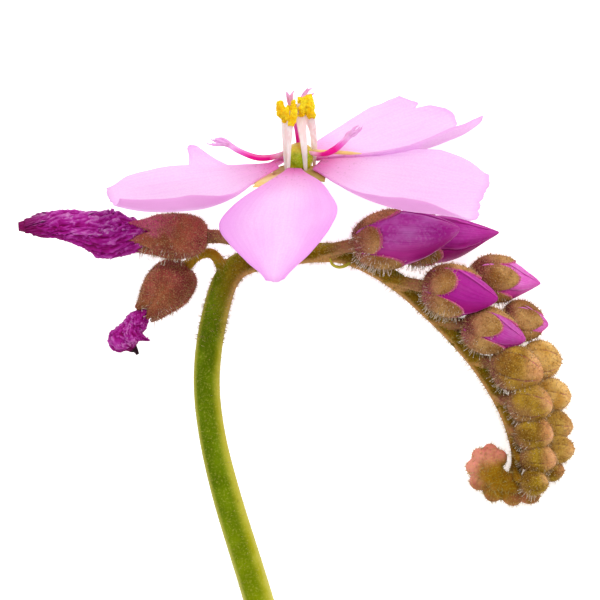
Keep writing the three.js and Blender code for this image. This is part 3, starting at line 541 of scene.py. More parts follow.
withered = [  # a rope's points are x, y, z, half width and half depth
    {"base": (-5.2, 3.63, 0.8), "tip": (-9.9, 3.72, 0.8), "width": 2.6, "peak": 0.36, "fullness": 0.38,
     "footFullness": 0.6, "foot": 0.02, "turn": 20, "mouth": 0.86, "seed": 3, "twist": 1.5, "flare": 0.1,
     "dryTip": 0.0, "rosy": 1.0, "gape": 0.26, "sheetEnd": 0.95,
     "pedicel": [(-2.3, 2.3, 0.1, 0.42), (-3.1, 3.1, 0.6, 0.4), (-4.2, 3.55, 0.8, 0.38)],
     "rope": [(-8.2, 3.68, 0.8, 0.45, 0.45), (-8.8, 3.68, 0.8, 0.74, 0.74), (-9.3, 3.67, 0.8, 0.84, 0.82),
              (-9.9, 3.68, 0.8, 1.0, 0.9), (-10.9, 3.72, 0.8, 1.24, 1.05), (-12.1, 4.05, 0.8, 0.98, 0.9),
              (-13.6, 4.3, 0.75, 0.78, 0.75), (-14.9, 4.26, 0.7, 0.58, 0.58), (-16.05, 4.18, 0.7, 0.28, 0.3)]},
    {"base": (-6.45, 1.98, -0.9), "tip": (-9.25, -1.1, -1.1), "width": 2.75, "peak": 0.36, "fullness": 0.6,
     "foot": 0.02, "turn": 30, "mouth": 0.86, "seed": 8, "twist": 0.8, "flare": 1.0,
     "dryTip": 1.0, "rosy": 0.0, "gape": 0.13, "sheetEnd": 0.8,
     "pedicel": [(-4.4, 0.9, 0.0, 0.38), (-4.5, 1.95, -0.2, 0.34), (-5.1, 2.68, -0.6, 0.3), (-5.9, 2.5, -0.85, 0.29)],
     "rope": [(-8.7, -0.5, -1.05, 0.36, 0.36), (-9.0, -0.82, -1.06, 0.4, 0.4), (-9.35, -1.25, -1.1, 0.6, 0.55),
              (-9.62, -1.65, -1.1, 0.62, 0.52), (-9.75, -2.1, -1.1, 1.0, 0.8), (-9.75, -2.45, -1.1, 0.9, 0.7),
              (-9.6, -2.72, -1.1, 0.34, 0.32), (-9.42, -2.9, -1.1, 0.16, 0.15), (-9.3, -3.12, -1.1, 0.1, 0.1)]},
]


def tubeAlong(knots, count, sides):
    path = smoothPath(knots, count)
    side, front = framesAlong(path, frontWay)
    turns = roundTurns(sides)
    rings = path[:, None, :3] + path[:, 3][:, None, None] * (
        side[:, None] * np.cos(turns)[None, :, None] + front[:, None] * np.sin(turns)[None, :, None])
    return tubeShell(rings), path, side


def ballShell(centre, wide, high, axis, sides):
    way = np.array(Vector(axis).to_track_quat("Z", "Y").to_matrix())
    heights, turns = np.linspace(0, np.pi, sides // 2 + 1)[1:-1], roundTurns(sides)
    flat = np.outer(np.sin(heights), np.cos(turns)) * wide, np.outer(np.sin(heights), np.sin(turns)) * wide
    rings = np.stack([*flat, np.outer(np.cos(heights), np.ones(sides)) * high], -1) @ way.T
    pole = way @ np.array([0, 0, high])
    return tubeShell(rings + centre, (centre + pole, centre - pole))


def pedicelKnots(bud):
    bf = BudFrame(bud)
    radius = stem["pedicelRadius"] * (bud["width"] / openBuds[0]["width"]) ** 0.6
    end, root = bf.reach(bud["foot"] + 0.05), np.array(bud["pedicel"])
    lead = end - bf.axis * 0.25 * np.linalg.norm(root - end)
    return [(*root, radius * 0.9), (*lead, radius), (*end, radius * 1.12)]


def grownTogether(shells, voxel, softening):  # one smooth skin round overlapping shells
    both = merged(shells)
    mesh = bpy.data.meshes.new("overlapping")
    mesh.from_pydata(both["points"].tolist(), [], both["faces"])
    holder = linked("overlapping", mesh)
    remesh, soften = holder.modifiers.new("skin", "REMESH"), holder.modifiers.new("soften", "SMOOTH")
    remesh.mode, remesh.voxel_size = "VOXEL", voxel
    soften.factor, soften.iterations = 0.5, softening
    skin = bpy.data.meshes.new_from_object(holder.evaluated_get(bpy.context.evaluated_depsgraph_get()))
    grown = {"points": placesOf(skin), "faces": [tuple(p.vertices) for p in skin.polygons], "marks": {}}
    bpy.data.objects.remove(holder)
    bpy.data.meshes.remove(skin)
    return outward(grown)


def placesOf(mesh):
    points = np.empty(len(mesh.vertices) * 3)
    mesh.vertices.foreach_get("co", points)
    return points.reshape(-1, 3)


def stemSkin():
    material = newMaterial("stemSkin", 0.45, 0.02, (0.12, 0.0006, (0.8, 1.0, 0.2)))
    grain, blotch, fleck = skinOf(7000.0, 700.0)
    up, flank, pedicel, young, core, cut = marksOf("up flank pedicel young core cut")
    where, low = coordinates(), ranged(up, 0.3, 0.0)
    green = mixed(blotch, mixed(low, "#566c00", "#7c8a00"), mixed(low, "#6a8004", "#929b08"))
    # The upper stem's own brown, olive in blotches towards one edge, with tan painted along the other edge as painted
    # edge light.
    brownAndEdgeLight = layered(blotch, mixed(blotch, "#644800", "#866410"),
                    (ranged(plus(times(blotch, 0.7), flank), 0.35, -0.45), ("#6c6404", "#948412")),
                    (times(ranged(flank, 0.4, 0.9), 0.8), "#c48e58"))
    strands = ranged(noiseOf(where, 5200.0, 1.0), 0.42, 0.55)
    face = layered(None, mixed(ranged(core, 0.2, 0.66), "#d8dca0", "#aab85c"),
                   (times(ranged(core, 0.6, 0.72), strands), "#6c7c28"), (ranged(core, 0.86, 0.94), "#62781a"))
    # Painted edge light: the stem's edges as seen from the front, where flank nears -1 or 1, are painted yellow; one
    # edge more broadly, and less so higher up.
    colour = layered(blotch, green,
                     (ranged(minus(flank, times(up, 0.6)), 0.05, 0.75), ("#a8a51c", "#b8b43c")),
                     (times(ranged(maths("ABSOLUTE", flank), 0.66, 0.97), 0.8), mixed(low, "#b5ac40", "#cfc770")),
                     (ranged(plus(up, times(flank, 0.03)), 0.43, 0.53), brownAndEdgeLight),
                     (times(ranged(pedicel, 0.2, 0.75), 0.85), ("#7c4640", "#99664e")),
                     (ranged(pedicel, -0.1, -0.45, 0.0, 0.9), ("#b08418", "#c89c30")),
                     (ranged(young, 0.0, 0.5), ("#7a5200", "#96680c")),
                     (ranged(young, 0.42, 1.0), ("#c06a5c", "#e0907c")),
                     (times(fleck, 0.3), "#d8cf60"), (cut, face))
    fibres = noiseOf(stretched(where, (1, 0.2, 1)), 5200.0)
    return coated(material, colour, plus(times(grain, 0.6), fibres), 0.5, 0.035)


def constantMarks(shell, **values):
    return {name: np.full((len(shell["points"]), 1), float(value)) for name, value in values.items()}


def coilBuds():  # the youngest buds, still tiny lobes round the end of the coil
    centre, lump, shells = np.array(stem["coilCentre"]), stem["lumpRadius"], []
    for x, y, z, radius in stem["coilBuds"]:
        place = np.array((x, y, z))
        shells.append(ballShell(place, radius * 0.98, radius * 1.14, place - centre, 24))
    for n in range(stem["frontLumps"]):
        turn = 0.85 * n + 1.9
        place = centre + np.array([math.cos(turn), math.sin(turn), 0]) * (0.3 + 0.1 * n)
        place = place + np.array([0, -0.1, 0.46 - 0.03 * n])
        shells.append(ballShell(place, lump, lump, frontWay, 20))
    lobes = grownTogether(shells, stem["coilVoxel"], stem["coilSoftening"])
    spots = lobes["points"] - centre
    outer = np.hypot(spots[:, 0], spots[:, 1])
    high = unit((spots[:, 1] - 0.45 * spots[:, 0] + 1.3) / 2.4)
    rosy = unit((outer - 0.1) / 1.5) * high + 0.35 * unit((outer - 1.2) / 0.6)
    lobes["marks"] = constantMarks(lobes, up=0.95, flank=0, pedicel=0, hairy=0.4, downy=1, cut=0, core=0)
    lobes["marks"]["young"] = unit(0.4 + 0.6 * rosy + 0.14 * ridged(lobes["points"], 1.2, 3, 3))[:, None]
    return lobes


def makeStem():
    shell, line, sides = tubeAlong(stem["line"], stem["steps"], stem["sides"])
    shells, steps = [shell], stem["pedicelSteps"]
    tracks = [(p[:3], share, side, 0.0) for p, share, side in zip(line, np.linspace(0, 1, len(line)), sides)]
    shares = [t[1] for t in tracks]
    knotLists = [pedicelKnots(b) for b in openBuds + closedBuds] + [stem["flowerPedicel"]]
    knotLists += [f["pedicel"] + [(*BudFrame(f).reach(0.06), f["pedicel"][-1][3] * 1.15)] for f in withered]
    for n, knots in enumerate(knotLists, 1):
        shell, path, sides = tubeAlong(knots, steps, stem["pedicelSides"])
        shells.append(shell)
        near = shares[np.argmin(np.linalg.norm(line[:, :3] - path[0, :3], axis=1))]
        golden = -1 if n == len(knotLists) else 1
        tracks += [(p[:3], near, sides[i], golden * i / (steps - 1)) for i, p in enumerate(path)]
    skin = grownTogether(shells, stem["voxel"], stem["softening"])
    tree = kdtree.KDTree(len(tracks))
    for i, track in enumerate(tracks):
        tree.insert(Vector(track[0]), i)
    tree.balance()
    foot = line[0, :3]
    footWay = (line[1, :3] - foot) / np.linalg.norm(line[1, :3] - foot)
    rows = []
    for point in skin["points"]:
        _, i, far = tree.find(Vector(point))
        place, up, side, pedicel = tracks[i]
        depth = (point - foot) @ footWay
        young = 0.45 * unit((up - 0.86) / 0.06)
        core = np.linalg.norm(point - foot - depth * footWay) / stem["line"][0][3]
        cut = unit((0.05 - depth) / 0.04)
        # flank, the second value, runs across the stem as seen from the front, from -1 at one edge to 1 at the other;
        # the stem's material paints the edges lighter as painted edge light.
        rows.append((up, (point - place) @ side / max(far, 1e-6), pedicel, young, cut, core,
                     (0.22 + 0.25 * (up > 0.4)) * (1 - cut), (0.12 + 0.88 * (up > 0.42)) * (1 - cut)))
    names = ("up", "flank", "pedicel", "young", "cut", "core", "hairy", "downy")
    skin["marks"] = {name: column[:, None] for name, column in zip(names, np.array(rows).T)}
    bract = tubeAlong(stem["bract"], 24, 8)[0]
    bract["marks"] = constantMarks(bract, up=0.3, flank=1, pedicel=0, young=0, hairy=0, downy=0, cut=0, core=0)
    return makePiece("stem", merged([skin, bract, coilBuds()]), stemSkin(), "stalk")


stemPiece = makeStem()
print("stem:", len(stemPiece.data.polygons), "faces")

# Calyces and furled petals of the open buds
calyx = {"turns": 120, "steps": 30, "wall": 0.2, "puff": 0.05, "groove": 0.09}
closed = {"turns": 100, "rows": 50, "groove": 0.1, "puff": 0.06}


def shaggy(rings, bf):  # long hairs are thickest low down and at the foot
    return np.clip(0.1 + 0.85 * ((rings - bf.reach(0.5)) / bf.half) @ np.array([-0.28, -0.74, -0.1]), 0.06, 1)


def calyxSkin():
    material = newMaterial("calyxSkin", 0.6, 0.05, (0.08, 0.0004, (1.0, 0.5, 0.3)))
    grain, blotch, fleck = skinOf(9000.0, 800.0)
    lobe, edge, wilted, rosy = marksOf("lobe edge wilted rosy")
    dull = mixed(blotch, mixed(lobe, "#803234", "#703e1a"), mixed(lobe, "#a24a44", "#8c5826"))
    colour = layered(blotch, mixed(blotch, "#682430", "#8a404a"),
                     (lobe, ("#8e602a", "#bc9054")), (wilted, dull), (rosy, ("#b43c68", "#c85c84")),
                     (ranged(edge, 0.3, 0.9, 0.0, 0.8), mixed(wilted, "#cc4494", "#b4605c")),
                     (times(fleck, 0.55), "#e0b884"))
    return coated(material, speckled(colour, "#4c2018"), grain, 0.55, 0.04)


def openCalyx(bud):
    bf, foot, notch = BudFrame(bud), bud["foot"], bud["notch"]
    turns = roundTurns(calyx["turns"])
    apart = fromSepalMiddle(turns, bud["turn"])
    which = np.round((turns - math.radians(bud["turn"])) * sepalCount / (2 * np.pi)).astype(int) % sepalCount
    rim = notch + (np.array(bud["sepalTips"])[which] - notch) * np.sqrt(np.maximum(0, 1 - apart ** 2)) ** 0.9
    steps = [(p, 0.05 * max(0, (p - 0.88) / 0.12) ** 2) for p in np.linspace(0, 1, calyx["steps"])]
    wall = calyx["wall"]
    steps += [(1.0, 0.09), (0.995, 0.14), (0.97, wall), (0.7, wall + 0.05), (0.45, wall + 0.1)]  # over and down inside
    part, inset = np.array(steps).T[:, :, None]
    share = foot + (rim - foot) * part
    puff = calyx["puff"] * (1 - apart ** 2) * np.minimum(1, part * 3)
    groove = calyx["groove"] * hill(1 - apart, 0.1) * unit((notch - share) / 0.1 + 0.6) * np.minimum(1, part * 2)
    radius = bf.half * swell(share, bud) + 0.02 + puff - groove - inset
    rings = bf.reach(share, turns, np.maximum(radius, 0.05))
    rings += (ridged(rings, 1.3, bud["width"]) * 0.03)[..., None] * (rings - bf.reach(0.4)) / bf.half
    lobe = unit(unit((share - bud["lobeFrom"]) / 0.24) * (1 - 0.35 * apart ** 2) + ridged(rings, 0.9, 5.0) * 0.35)
    edge = unit(1 - (rim - share) / 0.06) * (part > 0.5)
    outer = (np.arange(len(steps)) < calyx["steps"])[:, None]
    return tubeShell(rings, (bf.reach(foot), bf.reach(foot + 0.12)), lobe=lobe, edge=edge, wilted=0, rosy=0,
                     downy=outer, hairy=outer * shaggy(rings, bf))


furled = {"columns": 16, "rows": 66, "winding": 0.9, "step": 0.09, "lip": 0.035, "slim": 0.97}


def furledSilk():
    material = newMaterial("furledSilk", 0.4, 0.08)
    vein, streak = veinsOf(coordinates("UV"), 9.0, 0.8)
    # Painted light and shade: the lower side of each bud is painted deeper magenta as shade, the upper side gets pale
    # violet patches as painted sheen, and the creases and the covered ends of the petals are dark magenta as painted
    # shade. The paler free edges are partly the petals' own colour and partly a painted edge highlight.
    pale, edge, share, sheenMask, under, crease = marksOf("pale edge share bloom under crease")
    bloom = mixed(pale, "#ba60b2", "#f4a8e2")
    cloud = ranged(noiseOf(coordinates(), 620.0, 5.0), 0.38, 0.66, 0.0, 0.85)
    thin = ranged(noiseOf(coordinates(), 5200.0), 0.46, 0.72, 0.0, 0.5)
    colour = layered(pale, mixed(pale, mixed(streak, "#98067a", "#b02498"), mixed(streak, "#d848b8", "#f284da")),
                     (times(cloud, sheenMask), bloom), (times(thin, sheenMask), bloom),
                     (ranged(under, 0.15, 0.75, 0.0, 0.8), ("#9c066e", "#d840a8")),
                     (ranged(share, 0.72, 1.0, 0.0, 0.4), ("#b01488", "#dc48b0")),
                     (ranged(edge, 0.1, 0.9, 0.0, 0.8), ("#e65cc8", "#f8a0e4")),
                     (times(vein, 0.2), "#7c0668"),
                     (ranged(crease, 0.25, 0.9, 0.0, 0.75), ("#880468", "#c03098")))
    return coated(material, colour, minus(streak, times(vein, 0.5)), 0.3, 0.04)


def furledPetals(bud):  # five petals wound round each other, each with its free edge over the next
    bf, columns = BudFrame(bud), furled["columns"]
    shares = np.clip(1 - (1 - np.linspace(0.06, 1, furled["rows"])) ** 1.15, 0.06, 0.992)
    petal = np.repeat(np.arange(sepalCount), columns)
    spans = np.radians(bud["spans"])
    starts = math.radians(bud["firstEdge"]) + np.concatenate([[0], np.cumsum(spans)[:-1]])
    s, p = np.meshgrid(shares, np.tile(np.linspace(0, 1, columns), sepalCount), indexing="ij")
    turns = starts[petal] + p * spans[petal] - furled["winding"] * (s - 0.5)
    fat, free = swell(s, bud), unit(s * 3 - 0.4)
    lip = furled["lip"] * np.exp(-p / 0.1) * unit(s * 2)
    radius = bf.half * furled["slim"] * fat * (1 - furled["step"] * unit(s * 1.3) * (p ** 1.6)) + lip * fat
    radius = radius * (1 - bud["point"] * unit((s - 0.6) / 0.4) ** 1.5)
    rings = bf.reach(s, turns, radius)
    way = np.stack([np.cos(turns) * 1.6, np.sin(turns) * 1.6, s * 3.2 + bud["width"]], -1)
    pleats = creased(way * np.array([1.4, 1.4, 0.45]), 5.0, 5)
    bulge = ridged(way, 1.0, 2.0) * 0.06 - pleats * 0.05 * bud["crumple"]
    rings += (bulge * bf.half * fat)[..., None] * ((rings - bf.reach(s)) / np.maximum(radius, 1e-3)[..., None])
    # Painted shade: dark in the crumpled creases and where each petal runs in under the next.
    crease = unit(pleats * min(bud["crumple"], 0.6) + 0.8 * np.exp(-(1 - p) / 0.04) * free)
    spoke = (rings - bf.reach(s)) / bf.half
    # How far each spot lies on the lower side of the bud: painted shade there, and the painted sheen on the upper side
    # away from it.
    under = unit(0.15 - 1.2 * spoke @ np.array([0.15, 1.0, 0.1]) - 0.25 * (s - 0.5))
    return tubeShell(rings, (bf.reach(0.05), bf.reach(0.995)), uv=np.stack([p, s], -1), edge=np.exp(-p / 0.04) * free,
                     pale=unit(bud["pale"] + 0.25 * ridged(rings, 0.5, 1.0)), share=s, crease=crease, under=under,
                     bloom=bud["bloom"] * unit(1.2 - 1.5 * under))


def budSkin():
    material = newMaterial("budSkin", 0.58, 0.05, (0.1, 0.0005, (1.0, 0.7, 0.2)))
    grain, blotch, fleck = skinOf(9500.0, 900.0)
    share, seam, age, sun, glow = marksOf("share seam age sun glow")
    # Painted light and shade: the side of the bud turned towards the light (the sun mark) is olive-gold, the side
    # turned away mauve-brown.
    olive = mixed(blotch, mixed(age, "#6c4a00", "#845a10"), mixed(age, "#9a7c04", "#b88e34"))
    shadedMauve = mixed(blotch, mixed(age, "#644020", "#703e38"), mixed(age, "#845834", "#92604e"))
    # Painted highlight: peach on the sunlit side, towards the tip.
    paintedHighlight = times(ranged(sun, 0.55, 1.0), ranged(share, 0.4, 0.95))
    tipRed = times(ranged(seam, 0.3, 0.9), ranged(share, 0.35, 0.9))
    colour = layered(blotch, shadedMauve, (ranged(sun, 0.1, 0.55), olive),
                     (times(paintedHighlight, 0.85), ("#d08e5c", "#e8ac84")), (times(glow, 0.75), ("#cc9640", "#ecc078")),
                     (times(ranged(seam, 0.35, 0.95), 0.65), "#7c3c28"), (times(tipRed, age), "#c42c88"),
                     (times(fleck, 0.55), "#e8c46c"))
    return coated(material, speckled(colour, "#4a2c0c"), grain, 0.55, 0.04)


def closedBud(bud):
    bf = BudFrame(bud)
    shares = 0.5 - 0.5 * np.cos(np.pi * np.linspace(0.06, 0.97, closed["rows"]))
    s, t = np.meshgrid(shares, roundTurns(closed["turns"]), indexing="ij")
    t = t + 0.25 * (s - 0.5)
    apart = fromSepalMiddle(t, bud["turn"])
    seam, ends = hill(1 - apart, 0.055), np.sin(np.pi * s) ** 0.5
    relief = 1 + 0.02 - closed["groove"] * seam * ends + closed["puff"] * (0.6 - apart ** 2) * ends
    rings = bf.reach(s, t, bf.half * swell(s, bud) * relief)
    outwards = (rings - bf.reach(0.5)) / bf.half
    rings += outwards * (ridged(rings, 1.1, bud["width"] * 3) * 0.035)[..., None]
    # How far each spot faces right, up and to the front, towards the light, with some noise: the bud's material paints
    # the side that faces it in painted light and the side turned away in painted shade.
    lit = (outwards @ np.array([0.62, 0.25, 0.35])) * 0.55 + 0.45 + ridged(rings, 0.8, 9.0) * 0.25
    return tubeShell(rings, (bf.reach(bud["foot"]), bf.reach(0.985)), share=s, seam=seam, age=bud["age"],
                     glow=bud["glow"], sun=unit(lit), downy=1, hairy=shaggy(rings, bf))


calyxMaterial, furledMaterial, budMaterial = calyxSkin(), furledSilk(), budSkin()
calyxPieces = []
for n, bud in enumerate(openBuds, 1):
    calyxPieces.append(makePiece(f"bud{n:02d}Calyx", openCalyx(bud), calyxMaterial, f"bud_{n:02d}_calyx"))
    makePiece(f"bud{n:02d}Petals", furledPetals(bud), furledMaterial, f"bud_{n:02d}_petals")
print("open buds:", len(openBuds))
for n, bud in enumerate(closedBuds, 7):
    calyxPieces.append(makePiece(f"bud{n:02d}Calyx", closedBud(bud), budMaterial, f"bud_{n:02d}_calyx"))
print("closed buds:", len(closedBuds))

# Withered flowers: a closed calyx, and a rope of dried petals with torn sheets wrapped about it
dried = {"calyxTurns": 140, "calyxRows": 46, "rows": 130, "columns": 90, "sheets": 5, "sheetRows": 96,
         "sheetColumns": 30, "paper": 0.045}


def witheredCalyx(flower):
    bf, mouth, turns = BudFrame(flower), flower["mouth"], roundTurns(dried["calyxTurns"])
    apart = fromSepalMiddle(turns, flower["turn"])
    steps = [(p, 0.0) for p in np.linspace(flower["foot"], mouth, dried["calyxRows"])]
    share, inset = np.array(steps + [(mouth + 0.004, 0.08), (mouth, 0.18), (0.72, 0.4)]).T[:, :, None]
    lip = flower["gape"] * (np.minimum(share, mouth) / mouth) ** 6 * (0.45 - apart)
    seam = hill(1 - apart, 0.12)
    grow = bf.half * swell(share, flower) * (1 - 0.1 * seam * share) + 0.04 * (1 - apart ** 2) * share
    rings = bf.reach(share + lip, turns, grow - inset)
    rings += (ridged(rings, 1.1, flower["seed"], 3) * 0.06)[..., None] * (rings - bf.reach(0.45)) / bf.half
    top = ((rings - bf.reach(0.5)) / bf.half)[..., 1]
    flushed = np.clip(top * 1.6 + 0.3 + 0.8 * ridged(rings, 1.3, 2.0, 3), 0, 0.85)
    return tubeShell(rings, (bf.reach(flower["foot"]), bf.reach(0.6)), wilted=1, downy=inset == 0,
                     lobe=unit(unit(share * 1.1 - 0.2) * 0.7 + 0.5 * ridged(rings, 0.7, 4.0) + 0.1),
                     edge=unit(seam * share) * unit(share * 2.2 - 0.9), hairy=(inset == 0) * shaggy(rings, bf),
                     rosy=flower["rosy"] * unit((share - 0.35) / 0.4) * flushed)


def witheredSilk():
    material = newMaterial("witheredSilk", 0.5, 0.1)
    # Painted light and shade: raised ridges, sheet edges and the upper side come out pale lilac as painted highlight,
    # hollows deep magenta as painted shade.
    crest, share, dry = marksOf("crest share dry")
    crinkle = noiseOf(stretched(coordinates("UV"), (9, 8, 1)), 1.0, 2.0, 2.4)
    lift = plus(plus(times(crest, 0.5), times(crinkle, 0.18)), times(noiseOf(coordinates(), 700.0, 3.0, 0.6), 0.5))
    colour = layered(None, ramped(lift, (0.34, "#88005c"), (0.48, "#a2047c"), (0.6, "#b61a9a"), (0.71, "#ca46b6"),
                                  (0.82, "#de80ce"), (0.97, "#f0bcea")),
                     (ranged(share, 0.7, 0.97, 0.0, 0.8), "#80064e"), (ranged(share, 0.22, 0.0, 0.0, 0.6), "#a81070"),
                     (dry, "#2c1420"))
    return coated(material, colour, crinkle, 0.6, 0.06, 0.22)


def witheredRope(flower):
    path, seed = smoothPath(flower["rope"], dried["rows"]), flower["seed"]
    side, front = framesAlong(path, frontWay)
    s, t = np.meshgrid(np.linspace(0, 1, dried["rows"]), roundTurns(dried["columns"]), indexing="ij")
    twist = t - flower["twist"] * s * 1.6
    around, along = np.stack([np.cos(twist), np.sin(twist), 0 * t], -1), s[..., None] * frontWay
    big = ridged(around * 1.2 + along * 4.5, 1.0, seed)
    warp = big[..., None] * np.array([0.5, 0.4, 0.3])
    folds = creased(around * 2.2 + along * 4.0 + warp, seed + 1, 3.0)
    ripples = creased(around * 2.4 + along * 22 + warp * 2, seed + 2, 2.4)
    relief = 0.2 * big + 0.22 * (folds - 0.45) + 0.12 * (ripples - 0.4)
    swollen = 0.9 + relief * unit(s * 9) * np.clip((1 - s) * 7, 0.25, 1)
    wide, deep = path[:, 3:4], path[:, 4:5]
    rings = ringsAbout(path[:, :3], side, front, wide * np.cos(t) * swollen, deep * np.sin(t) * swollen)
    # Painted light and shade: ridges and the upper side of the rope score high, to be painted pale; hollows score low,
    # to be painted dark.
    crest = 0.62 * folds + 0.3 * ripples + 0.3 * big + 0.16 * (rings - path[:, None, :3])[..., 1] / wide
    return tubeShell(rings, uv=np.stack([np.abs(t / np.pi - 1), s], -1), crest=unit(crest), share=s,
                     dry=flower["dryTip"] * unit((s - 0.84) / 0.04))


def witheredSheet(flower, k):  # a crumpled petal wrapped round the rope, with free torn edges
    rows, seed = dried["sheetRows"], flower["seed"] * 10 + k
    path = smoothPath(flower["rope"], rows)
    side, front = framesAlong(path, frontWay)
    s, v = np.meshgrid(np.linspace(0.03, flower["sheetEnd"] - 0.05 * (k % 2), rows),
                       np.linspace(-1, 1, dried["sheetColumns"]), indexing="ij")
    row = s[:, 0] * (rows - 1)
    low = np.minimum(row.astype(int), rows - 2)
    part = (row - low)[:, None]
    at = path[low] * (1 - part) + path[low + 1] * part
    turn = 2 * np.pi * k / dried["sheets"] + flower["twist"] * s * 1.6 + v * (0.8 - 0.2 * s)
    field = np.stack([v * 1.4, s * 3.5, 0 * s + seed], -1)
    crumple = ridged(field, 1.0, seed, 3)
    folds = creased(field * np.array([1.5, 2.0, 1.0]) + crumple[..., None] * 0.6, seed + 3, 2.6)
    ripples = creased(field * np.array([1.6, 4.6, 1.0]) + crumple[..., None] * 1.6, seed + 4, 2.2)
    lift = 1.0 + 0.12 * crumple + 0.12 * (folds - 0.4) + 0.17 * (ripples - 0.4) * (0.4 + 0.6 * np.abs(v))
    lift += flower["flare"] * unit((s - 0.5) / 0.3) * (0.12 * np.sin(5 * turn + seed) + 0.06)
    lift += 0.1 * v ** 4 * np.sin(60 * s + 5 * crumple + seed)
    lift *= 1 - 0.12 * unit(0.15 - s) / 0.15
    wide, deep = at[:, 3:4], at[:, 4:5]
    bend = ringsAbout(0 * at[:, :3], side[low], front[low], wide * np.cos(turn) * lift, deep * np.sin(turn) * lift)
    drift = 0.02 * ridged(field * 2, 1.0, seed + 6) * np.abs(v)
    middle = at[:, None, :3] + drift[..., None] * (path[-1, :3] - path[0, :3]) + bend
    # Painted light and shade: high on the ridges, the torn edges and the upper side, low in the hollows.
    crest = unit(0.45 * folds + 0.45 * ripples + 0.2 * crumple + 0.25 * np.abs(v) ** 6)
    return sheetShell(middle, dried["paper"] * (1 - 0.5 * np.abs(v) ** 6), uv=np.stack([v * 0.5 + 0.5, s], -1),
                      crest=unit(crest + 0.16 * bend[..., 1] / wide), share=s, dry=0 * s)


witheredMaterial = witheredSilk()
for n, flower in enumerate(withered, 1):
    shell = witheredCalyx(flower)
    calyxPieces.append(makePiece(f"withered{n}Calyx", shell, calyxMaterial, f"withered_{n}_calyx"))
    shell = merged([witheredRope(flower)] + [witheredSheet(flower, k) for k in range(dried["sheets"])])
    makePiece(f"withered{n}Petals", shell, witheredMaterial, f"withered_{n}_petals")
print("withered flowers:", len(withered))

# The open flower: its own frame has y along its axis, x right and z to the front.
# A leaf's left and right hold its half widths from foot to tip and how far it curls; ends are its shares of reach.
flowerPlace = {"centre": np.array([-0.17, 7.83, 1.0]), "lean": 20.0, "petalFoot": 1.22}
flowerTurn = np.array(Euler((math.radians(flowerPlace["lean"]), 0, 0)).to_matrix())
petalSheet = {"rows": 72, "columns": 60, "thickness": 0.17, "edge": 0.05, "gap": 0.06, "softness": 0.25, "steps": 16}
# band is how strongly the curled-over margin is painted in its duller, partly shaded pink.
plainLeaf = {"notches": (), "unfold": 0, "band": 1.0}
petals = {
    "front": {"azimuth": 263.5, "length": 10.75, "slope": (-5, -28.5), "roll": 14, "ends": (0.99, 1, 1, 0.995, 0.985),
              "left": ((0.4, 1.7, 2.5, 3.1, 2.9, 2.0, 0.6), 0), "right": ((0.4, 1.4, 2.9, 3.75, 3.0, 1.8, 0.45), 0),
              "ragged": 0.0, "seed": 1},
    "right": {"azimuth": 341, "length": 10.1, "slope": (-9, 2), "roll": 15, "ends": (0.96, 0.985, 0.985, 1.01, 1.04),
              "left": ((0.9, 2.6, 3.4, 3.75, 3.55, 2.95, 1.9), 6),
              "right": ((0.8, 2.1, 3.5, 4.35, 4.4, 4.05, 3.1), 100),
              "notches": ((-0.3, 0.012, 0.06), (-0.62, 0.012, 0.06)), "ragged": 0.5, "unfold": 0.85, "seed": 2},
    "rear_right": {"azimuth": 41, "length": 10.2, "slope": (0, 5), "roll": 11,
                   "ends": (0.905, 0.965, 1.045, 0.96, 1.02),
                   "left": ((0.5, 1.75, 2.3, 2.65, 2.95, 3.0, 2.8), 4),
                   "right": ((0.4, 1.3, 2.8, 4.0, 4.4, 4.3, 3.6), 105),
                   "notches": ((0.5, 0.07, 0.06), (-0.44, 0.03, 0.05)), "ragged": 0.6, "band": 0.3, "seed": 3},
    "rear_left": {"azimuth": 126, "length": 9.5, "slope": (-41, 18), "roll": -4, "ends": (0.94, 0.99, 1, 1, 0.98),
                  "left": ((0.4, 1.3, 2.3, 2.8, 2.4, 1.6, 0.6), 10), "right": ((0.4, 0.4, 0.4, 0.4, 0.4, 0.4, 0.3), 10),
                  "ragged": 0.3, "seed": 4},
    "left": {"azimuth": 196, "length": 9.85, "slope": (-22, 8), "roll": -5, "ends": (0.99, 1, 1, 1, 0.98),
             "left": ((0.5, 1.2, 3.05, 4.2, 3.95, 3.3, 1.9), 100), "right": ((0.4, 1.9, 3.2, 3.9, 3.8, 3.2, 1.6), 6),
             "ragged": 0.4, "seed": 5},
}


def aboveTable(middle, thickness):  # a petal that would reach through the table lies down on it
    laid = (middle @ flowerTurn.T + flowerPlace["centre"]) @ turnArray.T + lyingPlace
    low, soft = laid[..., 2] - thickness / 2 - petalSheet["gap"], petalSheet["softness"]
    laid[..., 2] += np.where(low < soft, soft * np.exp(np.minimum(low, soft) / soft - 1) - low, 0)
    return ((laid - lyingPlace) @ turnArray - flowerPlace["centre"]) @ flowerTurn


def onStalk(shell):
    shell["points"] = shell["points"] @ flowerTurn.T + flowerPlace["centre"]
    return shell


def curlOf(leaf, along, across):  # degrees at the rim; it opens out again towards the tip
    opened = leaf["unfold"] * unit((along - 0.7) / 0.26) ** 2
    return np.where(across < 0, leaf["right"][1], leaf["left"][1]) * (1 - opened)


